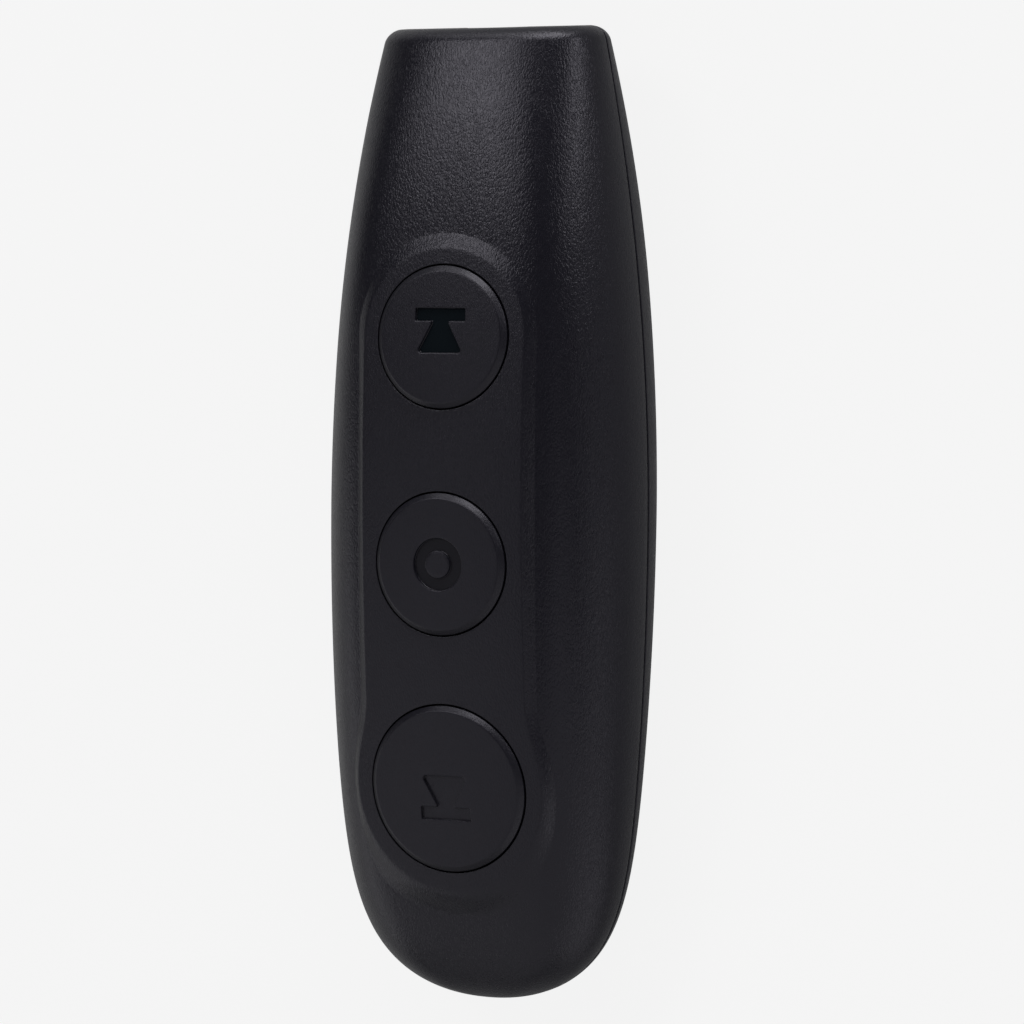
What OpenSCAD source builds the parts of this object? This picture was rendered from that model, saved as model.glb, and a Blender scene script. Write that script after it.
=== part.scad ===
// Handheld page turner remote with three round buttons on a raised keyhole panel.
// x runs across the body, y along it towards the flat end, z out of the button face.
// The remote lies on its back: the belly flat is at z = 0, and the shells meet at seam_z.

/* [Body] */
// Length from the flat end to the tail
body_l = 105; // [100:1:115]
// Greatest width
body_w = 36.4; // [36:0.2:42]
// Width across the flat end
end_w = 24.8; // [24:0.2:30]
// Height of the front shell above the seam
front_h = 12.5; // [12.2:0.1:13]
// Height of the front shell at the flat end
front_end_h = 7.8; // [7:0.1:9]
// Depth of the rear shell's full curve below the seam
rear_h = 11.4; // [11:0.1:13]
// Depth of the rear shell at the flat end
rear_end_h = 6; // [5.5:0.1:8]
// Depth of the flat that the remote lies on, below the seam
belly_h = 10.2; // [10:0.1:11]
// Wall of both shells
wall = 1.6; // [1.2:0.1:1.8]
// Rounding of the rim round the flat end
end_round = 1.5; // [0.8:0.1:2.5]
// How far the flat end leans back, for each millimetre above the seam
end_slant = 0.08; // [0:0.01:0.12]
// Fullness of the sections towards the sides: 2 is an ellipse
fullness = 2.38; // [2.3:0.01:2.5]
// Fullness of the front's sections on top
crown_fullness = 3.4; // [3:0.1:3.6]
// Shadow gap between the shells
seam_gap = 0.25; // [0.1:0.05:0.5]

/* [Panel] */
// Half-width of the raised panel beside the two small buttons
panel_r = 9.4; // [8.8:0.1:9.8]
// Radius of the panel's lobe round the large button
lobe_r = 10.8; // [10.2:0.1:11.2]
// Width of the sloped border beside the panel
border_w = 1; // [0.8:0.1:1.6]
// Width of the border at the panel's end towards the flat end
border_end_w = 1.5; // [1:0.1:2]
// Width of the border where it fades at the tail
border_tail_w = 3.2; // [2:0.1:4]
// Height of the panel above the seam, at its highest
panel_h = 13.4; // [13.2:0.05:13.6]
// Radius of the panel's arc along the body
panel_arc_r = 262; // [220:1:320]
// Radius of the panel's crown across the body
panel_crown_r = 90; // [70:1:150]

/* [Buttons] */
// Distance from one button to the next
button_pitch = 24; // [23.5:0.1:24.5]
// Diameter of the two small button caps
small_d = 15.06; // [14:0.02:15.6]
// Diameter of the large button cap
large_d = 17.88; // [17:0.02:18.2]
// Gap round each cap
cap_gap = 0.18; // [0.15:0.01:0.3]
// How far each cap stands above the panel
cap_rise = 0.55; // [0.45:0.05:0.7]
// Width of the bevel round each cap
bevel_w = 0.55; // [0.4:0.05:0.8]
// Height of the bevel round each cap
bevel_h = 0.45; // [0.3:0.05:0.5]
// How far a button travels
travel = 0.4; // [0.2:0.05:0.45]
// Depth of the icons
icon_depth = 0.35; // [0.2:0.05:0.6]
// How far the retaining flange reaches past the hole
flange_reach = 0.5; // [0.4:0.05:0.7]
// Thickness of the retaining flange
flange_t = 0.7; // [0.5:0.05:0.75]

/* [Battery bay] */
// Diameter of the cell
cell_d = 10.5; // [10:0.1:10.7]
// Length of the cell with its nub
cell_l = 44.5; // [43:0.1:45]
// Width of the hatch opening
hatch_w = 16; // [15.8:0.1:16.4]
// Gap between the hatch cover and the shell
hatch_gap = 0.2; // [0.15:0.01:0.3]
// Wall of the battery bay
bay_wall = 0.8; // [0.6:0.05:1]
// Free length of the bay behind the cell, for the spring
spring_l = 3.3; // [2.8:0.1:4]

/* [Receiver] */
// Width of the receiver's cap
receiver_w = 14.4; // [13:0.1:15]
// Length of the receiver's cap
receiver_cap_l = 6.8; // [6:0.1:7.2]
// Thickness of the receiver's cap
receiver_cap_h = 5.6; // [5.2:0.1:5.8]
// Width of the metal plug
plug_w = 12; // [11.8:0.1:12.2]
// Thickness of the metal plug
plug_h = 4.5; // [4.4:0.1:4.6]
// Length of the metal plug
plug_l = 12; // [11:0.1:12.2]

/* [Electronics] */
// Thickness of the circuit board
board_t = 1; // [0.8:0.05:1.05]
// Height of the board's underside above the seam
board_lift = 3.2; // [3.15:0.05:3.3]
// Gap between the board's edge and the body's outline
board_inset = 4.5; // [4:0.1:5.5]
// Side of a switch under a button
switch_w = 5.2; // [4.8:0.1:6]
// Height of a switch body
switch_h = 1.5; // [1.4:0.05:1.55]
// Diameter of a switch plunger
plunger_d = 2.5; // [2:0.1:3]
// Diameter of the laser barrel
laser_d = 6; // [5.5:0.1:6.2]
// Length of the laser barrel
laser_l = 8.4; // [7:0.1:9]
// Travel of the power slider
slider_travel = 2; // [1.5:0.1:2.4]

/* [Hidden] */
$fn = 64;

seam_z = belly_h;
tail_y = -body_l / 2;
end_y = body_l / 2;

// Places along the body where its width, front height and rear depth are greatest
widest_y = -1;
front_peak_y = 17.5;
rear_peak_y = 24.7;
// How much each profile has narrowed at the tail before the tail's own rounding
tail_taper_w = 3.3;
tail_taper_front = 3;
tail_taper_rear = 6.8;
// Powers that round the tail in plan, in the front profile and in the rear profile
tail_power_w = [9.5, 2.1];
tail_power_front = [5.2, 1.64];
tail_power_rear = [14.5, 2.5];
// Length over which the flat end's lean fades away
slant_run = 10;

// One profile of the body at y: from its peak it falls in a parabola to the flat end,
// and by a taper and a rounding to nothing at the tail.
function profile(y, peak, end, peak_y, taper, powers) =
    y > peak_y
    ? peak - (peak - end) * pow((y - peak_y) / (end_y - peak_y), 2)
    : let (q = min(1, (peak_y - y) / (peak_y - tail_y)))
        (peak - taper * q * q) * pow(1 - pow(q, powers[0]), 1 / powers[1]);
function half_width(y) = profile(y, body_w / 2, end_w / 2, widest_y, tail_taper_w, tail_power_w);
function front_height(y) =
    profile(y, front_h, front_end_h, front_peak_y, tail_taper_front, tail_power_front);
function rear_depth(y) =
    profile(y, rear_h, rear_end_h, rear_peak_y, tail_taper_rear, tail_power_rear);

// The rounding of the rim draws each section in near the flat end
function rim_inset(y) =
    let (d = y - (end_y - end_round))
        d > 0 ? end_round - sqrt(max(0, end_round * end_round - d * d)) : 0;
function signed_power(v, p) = sign(v) * pow(abs(v), p);

// Height of the front's section at y, from 0 to 1, at a share of its half-width. It is fuller
// on top than at its sides, but no longer at the flat end.
crown_from = 0.5;
crown_to = 0.95;
crown_fade_y = 22;
function ease(v) = let (t = max(0, min(1, v))) t * t * (3 - 2 * t);
function crown(share, y) =
    let (full = crown_fullness
            + (fullness - crown_fullness) * ease((y - crown_fade_y) / (end_y - crown_fade_y)),
        power = full + (fullness - full) * ease((share - crown_from) / (crown_to - crown_from)))
        pow(max(0, 1 - pow(share, power)), 1 / power);

// Height of the body above the seam, and half-width at a low height, without the panel
function body_z(x, y) = front_height(y) * crown(min(1, abs(x) / half_width(y)), y);
function body_x(y, z) =
    half_width(y) * pow(1 - pow(abs(z) / front_height(y), fullness), 1 / fullness);

// Rings along the body: close together at the rim and at the tail
section_steps = 26;
rim_steps = 4;
middle_steps = 23;
tail_steps = 10;
tail_run = 12;
ring_ys = concat(
    [for (i = [0:rim_steps]) end_y - end_round * (1 - cos(90 * i / rim_steps))],
    [for (i = [1:middle_steps])
        let (t = i / middle_steps) (end_y - end_round) * (1 - t) + (tail_y + tail_run) * t],
    [for (i = [tail_steps - 1:-1:1]) tail_y + tail_run * pow(i / tail_steps, 2)]);

// Ring of the body at y. The factors scale the skin for the inside of the wall.
function ring(y, fx, fy, ff, fr, floor_z, from, to, steps) =
    let (w = (half_width(y) - rim_inset(y)) * fx,
        front = (front_height(y) - rim_inset(y)) * ff,
        rear = (rear_depth(y) - rim_inset(y)) * fr,
        lean = end_slant * max(0, min(1, (y - end_y + slant_run) / slant_run)))
    [for (i = [0:steps])
        let (a = from + (to - from) * i / steps,
            x = w * signed_power(cos(a), 2 / fullness),
            z = sin(a) > 0
                ? front * crown(pow(abs(cos(a)), 2 / fullness), y)
                : rear * signed_power(sin(a), 2 / fullness),
            z_cut = max(z, -floor_z))
        [x, y * fy - lean * max(0, z_cut), abs(z_cut) < 1e-9 ? 0 : z_cut]];

// Closed solid through rings of equal count, ending at a point at the tail
module loft(rings, tip) {
    n = len(rings[0]);
    m = len(rings);
    points = concat([for (r = rings) each r], [tip]);
    sides = [for (j = [0:m - 2], i = [0:n - 1])
        let (a = j * n + i, b = j * n + (i + 1) % n)
        each [[a, b + n, b], [a, a + n, b + n]]];
    first = [for (i = [1:n - 2]) [0, i, i + 1]];
    last = [for (i = [0:n - 1]) [(m - 1) * n + (i + 1) % n, (m - 1) * n + i, m * n]];
    polyhedron(points, concat(sides, first, last));
}

module half_body(from, to) {
    loft([for (y = ring_ys) ring(y, 1, 1, 1, 1, belly_h, from, to, section_steps)],
        [0, tail_y, 0]);
}

// Inside of both shells, as one closed solid: the body less the wall
cavity_floor = belly_h - wall;
cavity_middle_steps = 14;
cavity_tail_steps = 7;
cavity_ys = concat(
    [for (i = [0:cavity_middle_steps])
        let (t = i / cavity_middle_steps) end_y * (1 - t) + (tail_y + tail_run) * t],
    [for (i = [cavity_tail_steps - 1:-1:1]) tail_y + tail_run * pow(i / cavity_tail_steps, 2)]);
cavity_fx = (body_w / 2 - wall) / (body_w / 2);
cavity_fy = (body_l / 2 - wall) / (body_l / 2);
cavity_ff = (front_h - wall) / front_h;
cavity_fr = (rear_h - wall) / rear_h;

module cavity() {
    steps = 32;
    loft([for (y = cavity_ys)
            let (full = ring(y, cavity_fx, cavity_fy, cavity_ff, cavity_fr, cavity_floor,
                0, 360, steps))
            [for (i = [0:steps - 1]) full[i]]],
        [0, tail_y * cavity_fy, 0]);
}

// Outline of the body in plan, drawn in by a distance
module plan_outline(inset) {
    f = (body_w / 2 - inset) / (body_w / 2);
    fy = (body_l / 2 - inset) / (body_l / 2);
    right = [for (y = ring_ys) [half_width(y) * f, y * fy]];
    polygon(concat(right, [[0, tail_y * fy]],
        [for (i = [len(right) - 1:-1:0]) [-right[i][0], right[i][1]]]));
}

// Buttons: place along the body, cap diameter
middle_y = -4.85;
button_ys = [middle_y + button_pitch, middle_y, middle_y - button_pitch];
button_ds = [small_d, small_d, large_d];

// The panel's surface: an arc along the body, crowned across it
panel_peak_y = 6.85;
function panel_z(x, y) =
    panel_h - (panel_arc_r - sqrt(panel_arc_r * panel_arc_r - pow(y - panel_peak_y, 2)))
    - (panel_crown_r - sqrt(panel_crown_r * panel_crown_r - x * x));

// Distance outside the keyhole outline of the panel, with a soft waist above the lobe
waist_blend = 2.5;
function capsule_distance(x, y) =
    let (ty = max(button_ys[2], min(button_ys[0], y))) norm([x, y - ty]) - panel_r;
function lobe_distance(x, y) = norm([x, y - button_ys[2]]) - lobe_r;
function panel_distance(x, y) =
    let (a = capsule_distance(x, y), b = lobe_distance(x, y),
        h = max(0, waist_blend - abs(a - b)) / waist_blend)
        min(a, b) - h * h * waist_blend / 4;

// How far round the lobe's tail a place is, from 0 beside its button to 1 at its end
function tail_share(y) = max(0, min(1, (button_ys[2] - y) / lobe_r));

// The border widens towards the panel's end, and where it fades at the tail
border_end_y = 12;
function border_at(y) =
    let (t = tail_share(y),
        e = max(0, min(1, (y - border_end_y) / (button_ys[0] + panel_r - border_end_y))))
        border_w + (border_tail_w - border_w) * t * t + (border_end_w - border_w) * e * e;

// Fall of the border, from 0 at the panel to 1 at its foot: straight, but soft at the tail
function border_fall(t, soft) =
    let (s = max(0, min(1, t))) s + soft * (ease(s) - s);
function front_z(x, y) =
    let (body = body_z(x, y),
        fall = border_fall(panel_distance(x, y) / border_at(y), tail_share(y)))
        body + (max(panel_z(x, y), body) - body) * (1 - fall);

// Spokes of the panel: each starts on the middle line, as [start y, angle]
arc_steps = 10;
side_steps = 24;
panel_spokes = concat(
    [for (i = [0:arc_steps]) [button_ys[0], 90 - 90 * i / arc_steps]],
    [for (i = [1:side_steps]) [button_ys[0] + (button_ys[2] - button_ys[0]) * i / side_steps, 0]],
    [for (i = [1:arc_steps]) [button_ys[2], -90 * i / arc_steps]]);
function on_spoke(spoke, r) = [r * cos(spoke[1]), spoke[0] + r * sin(spoke[1])];

// Length of a spoke out to a share of the border: 0 is the panel's edge, 1 the foot
function spoke_reach(spoke, share, low = 0, high = 20, n = 0) =
    let (r = (low + high) / 2, p = on_spoke(spoke, r))
        n == 20 ? r
        : panel_distance(p[0], p[1]) < share * border_at(p[1])
            ? spoke_reach(spoke, share, r, high, n + 1)
            : spoke_reach(spoke, share, low, r, n + 1);

// One ring round the panel, from its right-hand half
function mirrored_ring(half) =
    concat(half, [for (i = [len(half) - 2:-1:1]) [-half[i][0], half[i][1], half[i][2]]]);

// Raised part of the panel: rings from the root inside the wall, over the foot, to the middle
panel_root_z = 3;
foot_sink = 0.15;
foot_share = 1.1;
border_shares = [1, 0.75, 0.5, 0.25, 0];
inner_shares = [0.8, 0.55, 0.3];
module raised_panel() {
    m = len(panel_spokes) - 1;
    n = 2 * m;
    foot = [for (s = panel_spokes) on_spoke(s, spoke_reach(s, foot_share))];
    border = [for (t = border_shares)
        [for (s = panel_spokes) on_spoke(s, spoke_reach(s, t))]];
    inner = [for (f = inner_shares)
        [for (s = panel_spokes) on_spoke(s, f * spoke_reach(s, 0))]];
    rings = concat(
        [mirrored_ring([for (p = foot) [p[0], p[1], panel_root_z]])],
        [mirrored_ring([for (p = foot) [p[0], p[1], body_z(p[0], p[1]) - foot_sink]])],
        [for (row = concat(border, inner)) mirrored_ring([for (p = row) [p[0], p[1], front_z(p[0], p[1])]])]);
    top = (len(rings) - 1) * n;
    sides = [for (j = [0:len(rings) - 2], i = [0:n - 1])
        let (a = j * n + i, b = j * n + (i + 1) % n)
        each [[a, b, b + n], [a, b + n, a + n]]];
    across = [for (i = [0:m - 1])
        let (left = (n - i) % n, next_left = n - i - 1)
        each concat(
            i < m - 1 ? [[i, i + 1, next_left]] : [],
            i > 0 ? [[i, next_left, left]] : [])];
    upper = [for (f = across) [f[0] + top, f[1] + top, f[2] + top]];
    lower = [for (f = across) [f[0], f[2], f[1]]];
    polyhedron([for (r = rings) each r], concat(sides, upper, lower));
}

module at_seam() {
    translate([0, 0, seam_z]) children();
}

// Solid under the panel's surface, lowered by a distance, as a ring about a cross axis
module under_panel(drop) {
    core_r = panel_arc_r - panel_crown_r;
    translate([0, panel_peak_y, panel_h - panel_arc_r])
        rotate([0, 90, 0])
            rotate_extrude($fn = 240) translate([core_r, 0]) circle(r = panel_crown_r - drop, $fn = 240);
}

// Seats of the button flanges, under the front wall, and what lies below them
flange_gap = 0.1;
board_top = board_lift + board_t;
switch_top = board_top + switch_h;
plunger_out = 0.5;
plunger_top = switch_top + plunger_out;
flange_rs = [for (d = button_ds) d / 2 + cap_gap + flange_reach];
seat_rs = [for (r = flange_rs) r + 0.6];
function cavity_z(x, y) = cavity_ff * body_z(x / cavity_fx, y / cavity_fy);
seat_zs = [for (i = [0:2])
    min([for (a = [-90:15:90]) cavity_z(seat_rs[i] * cos(a), button_ys[i] + seat_rs[i] * sin(a))]) - 0.05];
cap_skin = 1.8;
cap_skirt = 1.2;
stem_r = 1.5;

module button_seats() {
    for (i = [0:2])
        translate([0, button_ys[i], seat_zs[i]]) cylinder(r = seat_rs[i], h = front_h);
}

module button_holes() {
    for (i = [0:2])
        translate([0, button_ys[i], 0]) cylinder(r = button_ds[i] / 2 + cap_gap, h = 2 * front_h);
}

// Screws that hold the board to the front shell
board_screw_xy = [[11.2, 7], [-11.2, 7], [10.6, -17], [-10.6, -17]];
board_boss_r = 1.9;
board_screw_r = 0.8;
board_screw_l = 4.2;
board_head_r = 1.5;
board_head_h = 0.9;
pilot_gap = 0.05;
through_gap = 0.15;

// Laser and its ring in the flat end, centred on the seam
bezel_r = 3.6;
bezel_flange_r = 4.4;
bezel_gap = 0.1;
end_inner_y = end_y - wall;
flange_l = 0.9;
bezel_bore_r = 2.2;
lens_r = bezel_bore_r + 0.55;
lens_gap = 0.05;
lens_t = 0.8;
laser_gap = 0.3;
laser_front_y = end_inner_y - flange_l - laser_gap;
laser_back_y = laser_front_y - laser_l;
cradle_t = 1.2;
cradle_inset = 1.8;
cradle_ys = [laser_back_y + cradle_inset, laser_front_y - cradle_inset - cradle_t];
cradle_w = laser_d + 4;

// Bore for the ring, with a flat pocket for its flange inside the leaning end wall
module laser_bore() {
    translate([0, end_inner_y - wall, 0]) rotate([-90, 0, 0]) {
        cylinder(r = bezel_r + bezel_gap, h = 3 * wall);
        cylinder(r = bezel_flange_r + bezel_gap, h = wall);
    }
}

// A rib across the body with a round seat for the barrel, above or below the seam
module cradle(side) {
    for (y = cradle_ys)
        difference() {
            translate([-cradle_w / 2, y, side > 0 ? 0.05 : -belly_h])
                cube([cradle_w, cradle_t, belly_h - 0.05]);
            translate([0, y - 1, 0])
                rotate([-90, 0, 0]) cylinder(r = laser_d / 2 + bezel_gap, h = cradle_t + 2);
        }
}

// Battery bay, open to the hatch: the cell towards the flat end, the receiver behind it
wire_room = 3.9;
bay_end_y = laser_back_y - wire_room;
contact_t = 0.3;
contact_gap = 0.1;
cell_gap = 0.1;
cell_z = -cavity_floor + cell_gap + cell_d / 2;
cell_front_y = bay_end_y - contact_gap - contact_t;
cell_back_y = cell_front_y - cell_l;
partition_y = cell_back_y - spring_l - contact_t - contact_gap;
receiver_gap = 0.3;
receiver_l = plug_l + receiver_cap_l;
bay_tail_y = partition_y - bay_wall - 2 * receiver_gap - receiver_l;
bay_top = cell_z + cell_d / 2 + cell_gap;
bay_w = hatch_w;
hatch_corner_r = 1.5;

module hatch_outline(shrink) {
    r = hatch_corner_r - shrink;
    x = hatch_w / 2 - hatch_corner_r;
    for (sy = [0, 1])
        for (sx = [-1, 1])
            translate([sx * x, sy > 0 ? bay_end_y - hatch_corner_r : bay_tail_y + hatch_corner_r])
                circle(r = r, $fn = 32);
    translate([-x - r, bay_tail_y + hatch_corner_r])
        square([2 * (x + r), bay_end_y - bay_tail_y - 2 * hatch_corner_r]);
    translate([-x, bay_tail_y + shrink])
        square([2 * x, bay_end_y - bay_tail_y - 2 * shrink]);
}

// Outer block of the bay: its roof lies above the seam, under the board
module bay_block() {
    translate([-bay_w / 2 - bay_wall, bay_tail_y - bay_wall, -belly_h])
        cube([bay_w + 2 * bay_wall, bay_end_y - bay_tail_y + 2 * bay_wall, belly_h + bay_top + bay_wall]);
}

// Room inside the bay, round the ribs and the wall that stand in it
rib_t = 0.8;
rail_x = 4;
partition_lift = 1;
module bay_room() {
    difference() {
        translate([0, 0, -2 * belly_h]) linear_extrude(2 * belly_h + bay_top) hatch_outline(0);
        // Ribs beside the cell
        for (s = [-1, 1])
            translate([s * (cell_d / 2 + cell_gap + rib_t / 2) - rib_t / 2, partition_y, cell_z])
                cube([rib_t, bay_end_y - partition_y, belly_h]);
        // Wall between the cell and the receiver
        translate([-bay_w / 2, partition_y - bay_wall, -cavity_floor + partition_lift])
            cube([bay_w, bay_wall, belly_h + bay_top]);
        // Rails in the roof that the receiver lies against
        for (s = [-1, 1])
            translate([s * rail_x - rib_t / 2, bay_tail_y, receiver_z + receiver_cap_h / 2 + cell_gap])
                cube([rib_t, partition_y - bay_tail_y, belly_h]);
    }
}

// Hooks of the cover reach through slots in the bay's end wall, and it swings on them
hook_w = 2.2;
hook_x = 5.3;
hook_reach = 1;
hook_z = -8;
hook_t = 1;
hook_root = 1;
hook_l = 2.6;
hook_gap = 0.3;
hook_lift = 0.7;
module hook_slots() {
    for (s = [-1, 1])
        translate([s * hook_x - hook_w / 2 - hook_gap, bay_end_y - bay_wall, hook_z - hook_gap / 3])
            cube([hook_w + 2 * hook_gap, hook_reach + 2 * bay_wall, hook_t + hook_lift + hook_gap / 3]);
}

// Scoop in the shell beside the cover's free end, for a fingernail
notch_r = 4;
notch_w = 9;
notch_depth = 1;
module nail_notch() {
    translate([-notch_w / 2, bay_tail_y, -rear_depth(bay_tail_y) - notch_r + notch_depth])
        rotate([0, 90, 0]) cylinder(r = notch_r, h = notch_w);
}

// Screws that hold the shells together, clear of the bay's ends
post_r = 2.5;
post_gap = 0.3;
end_screw_y = end_y - 11.5;
tail_screw_y = min(tail_y + 11, bay_tail_y - bay_wall - post_r - post_gap);
shell_screw_xy = [[8.6, end_screw_y], [-8.6, end_screw_y], [8, tail_screw_y], [-8, tail_screw_y]];
shell_screw_r = 0.95;
shell_head_r = 1.8;
shell_head_h = 1.3;
shell_head_z = -3.2;
shell_screw_l = 7.5;
counterbore_r = shell_head_r + 0.25;

// Power switch under the board beside the bay, and its slot in the shell
slider_y = end_y - 22.5;
power_w = 2.8;
power_l = 6.7;
power_h = 1.4;
power_gap = 0.35;
power_x = -(bay_w / 2 + bay_wall + power_gap + power_w / 2);
power_z = board_lift - power_h / 2;
knob_l = 3.2;
knob_h = 1.6;
knob_gap = 0.2;
knob_drop = 0.15;
keeper_t = 0.8;
keeper_l = knob_l + 2 * knob_gap + 2 * slider_travel + 1;
keeper_h = 2.8;
slot_x = -body_x(slider_y + keeper_l / 2, power_z + keeper_h / 2) * cavity_fx;
keeper_x = slot_x + 0.5;

module slider_slot() {
    l = knob_l + slider_travel + 2 * knob_gap;
    translate([-body_w, slider_y - l / 2, power_z - knob_h / 2 - knob_gap])
        cube([body_w + slot_x + keeper_t, l, knob_h + 2 * knob_gap]);
}

module front_shell() {
    color("#26262b") at_seam() difference() {
        union() {
            half_body(0, 180);
            raised_panel();
        }
        difference() {
            cavity();
            button_seats();
            for (p = board_screw_xy)
                translate([p[0], p[1], board_top]) cylinder(r = board_boss_r, h = front_h);
            for (p = shell_screw_xy)
                translate([p[0], p[1], 0.05]) cylinder(r = post_r, h = front_h);
            cradle(1);
        }
        button_holes();
        for (p = board_screw_xy)
            translate([p[0], p[1], 0])
                cylinder(r = board_screw_r + pilot_gap, h = board_lift + board_screw_l + 0.4, $fn = 24);
        for (p = shell_screw_xy)
            translate([p[0], p[1], -1])
                cylinder(r = shell_screw_r + pilot_gap, h = 1 + shell_screw_l + shell_head_z + 0.6, $fn = 24);
        laser_bore();
        slider_slot();
    }
}

module rear_body() {
    difference() {
        union() {
            half_body(180, 360);
            intersection() {
                bay_block();
                translate([-body_w, -body_l, 0]) cube([2 * body_w, 2 * body_l, front_h]);
            }
        }
        difference() {
            cavity();
            bay_block();
            for (p = shell_screw_xy)
                translate([p[0], p[1], -2 * belly_h]) cylinder(r = post_r, h = 2 * belly_h - 0.05);
            cradle(-1);
        }
    }
}

module rear_shell() {
    color("#26262b") at_seam() {
        difference() {
            rear_body();
            bay_room();
            hook_slots();
            nail_notch();
            for (p = shell_screw_xy)
                translate([p[0], p[1], -2 * belly_h]) {
                    cylinder(r = shell_screw_r + through_gap, h = 3 * belly_h, $fn = 24);
                    cylinder(r = counterbore_r, h = 2 * belly_h + shell_head_z, $fn = 32);
                }
            laser_bore();
            // Shadow gap along the seam, outside the lip
            translate([0, 0, -seam_gap]) linear_extrude(1) difference() {
                square([2 * body_w, 2 * body_l], center = true);
                plan_outline(wall / 3);
            }
        }
    }
}

module battery_cover() {
    color("#26262b") at_seam() {
        intersection() {
            difference() {
                half_body(180, 360);
                cavity();
            }
            translate([0, 0, -2 * belly_h]) linear_extrude(2 * belly_h) hatch_outline(hatch_gap);
        }
        for (s = [-1, 1])
            translate([s * hook_x - hook_w / 2, bay_end_y - hook_l, hook_z]) {
                cube([hook_w, hook_l + hook_reach, hook_t]);
                translate([0, 0, -hook_root]) cube([hook_w, hook_l - hatch_gap, hook_root + hook_t]);
            }
    }
}

module end_window_ring() {
    color("#101014") at_seam() rotate([-90, 0, 0]) difference() {
        translate([0, 0, end_inner_y - flange_l - bezel_gap]) {
            cylinder(r = bezel_flange_r, h = flange_l);
            cylinder(r = bezel_r, h = flange_l + wall - 2 * bezel_gap);
        }
        translate([0, 0, end_inner_y - 2 * wall]) cylinder(r = bezel_bore_r, h = 4 * wall);
        translate([0, 0, end_inner_y - bezel_gap]) cylinder(r = lens_r + lens_gap, h = 2 * wall);
    }
}

module end_lens() {
    color("#3a0d12") at_seam() translate([0, end_inner_y - bezel_gap, 0]) rotate([-90, 0, 0])
        cylinder(r = lens_r, h = lens_t);
}

// Barrel with a seat for the diode behind, and the beam's bore in front
beam_r = 1.6;
diode_r = 2.05;
diode_l = 1.6;
diode_seat = 1;
diode_gap = 0.05;
module laser_barrel() {
    color("#b08a3c") at_seam() translate([0, laser_back_y, 0]) rotate([-90, 0, 0]) difference() {
        cylinder(r = laser_d / 2, h = laser_l);
        translate([0, 0, diode_seat + 0.6]) cylinder(r = beam_r, h = laser_l);
        translate([0, 0, -1]) cylinder(r = diode_r + diode_gap, h = 1 + diode_seat);
    }
}

pin_x = 0.8;
pin_r = 0.2;
pin_l = 0.4;
module laser_diode() {
    color("#c9c9cc") at_seam() translate([0, laser_back_y + diode_seat - diode_gap, 0])
        rotate([90, 0, 0]) {
            cylinder(r = diode_r, h = diode_l);
            for (s = [-1, 1])
                translate([s * pin_x, 0, 0]) cylinder(r = pin_r, h = diode_l + pin_l, $fn = 16);
        }
}

// Two leads from the diode's pins up to the board
wire_r = 0.3;
wire_bend = 0.8;
wire_end = 0.1;
solder_l = 0.4;
wire_start_y = laser_back_y + diode_seat - diode_gap - diode_l - pin_l;
module laser_wires() {
    color("#b03030") at_seam() for (s = [-1, 1])
        translate([s * pin_x, wire_start_y, 0]) {
            rotate([90, 0, 0]) cylinder(r = wire_r, h = wire_end, $fn = 16);
            translate([0, -wire_end, wire_bend]) rotate([0, 90, 0])
                rotate_extrude(angle = -90, $fn = 48) translate([wire_bend, 0]) circle(r = wire_r, $fn = 16);
            translate([0, -wire_end - wire_bend, wire_bend])
                cylinder(r = wire_r, h = board_lift + solder_l - wire_bend, $fn = 16);
        }
}

// Icons, seen along -z: pointing up the body is towards the flat end
icon_half_w = 2.9;
icon_bar_y = 1.65;
icon_bar_w = 1.4;
icon_neck = 1;
icon_foot_y = -1.7;
next_icon_y = -0.28;
module previous_icon() {
    foot_half = icon_half_w - 0.4;
    corner = 0.35;
    translate([-icon_half_w, icon_bar_y]) square([2 * icon_half_w, icon_bar_w]);
    polygon([for (sx = [1, -1])
        each let (side = [[icon_neck, icon_bar_y + 0.1], [icon_neck, icon_bar_y - 0.25],
                [foot_half, icon_foot_y + corner], [foot_half - corner / 2, icon_foot_y]])
            [for (k = [0:3]) let (q = side[sx > 0 ? k : 3 - k]) [sx * q[0], q[1]]]]);
}
module pointer_icon() {
    difference() {
        circle(r = 2.8);
        circle(r = 1.45);
    }
}
module next_icon() {
    translate([0, next_icon_y]) mirror([0, 1]) previous_icon();
}

// Cone that bevels the rim of a cap, square to the panel at the cap's middle
module bevel_cone(i) {
    y = button_ys[i];
    r = button_ds[i] / 2;
    slope = bevel_w / bevel_h;
    rim_drop = r * r * (1 / panel_crown_r + 1 / panel_arc_r) / 4;
    below = front_h;
    above = 1;
    translate([0, y, panel_z(0, y) + cap_rise - rim_drop])
        rotate([-asin((y - panel_peak_y) / panel_arc_r), 0, 0])
            translate([0, 0, -below])
                cylinder(r1 = r - bevel_w + slope * below, r2 = r - bevel_w - slope * above,
                    h = below + above);
}

module cap(i) {
    d = button_ds[i];
    y = button_ys[i];
    flange_z = seat_zs[i] - flange_gap - flange_t;
    difference() {
        union() {
            intersection() {
                translate([0, y, flange_z]) cylinder(d = d, h = 2 * front_h);
                under_panel(-cap_rise);
                bevel_cone(i);
            }
            translate([0, y, flange_z]) cylinder(r = flange_rs[i], h = flange_t);
        }
        intersection() {
            translate([0, y, flange_z - 1]) cylinder(d = d - 2 * cap_skirt, h = 2 * front_h);
            under_panel(cap_skin - cap_rise);
        }
        difference() {
            translate([0, y, flange_z]) linear_extrude(2 * front_h) children();
            under_panel(icon_depth - cap_rise);
        }
    }
    intersection() {
        translate([0, y, plunger_top]) cylinder(r = stem_r, h = 2 * front_h);
        under_panel(cap_skin / 2 + icon_depth - cap_rise);
    }
}

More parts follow.
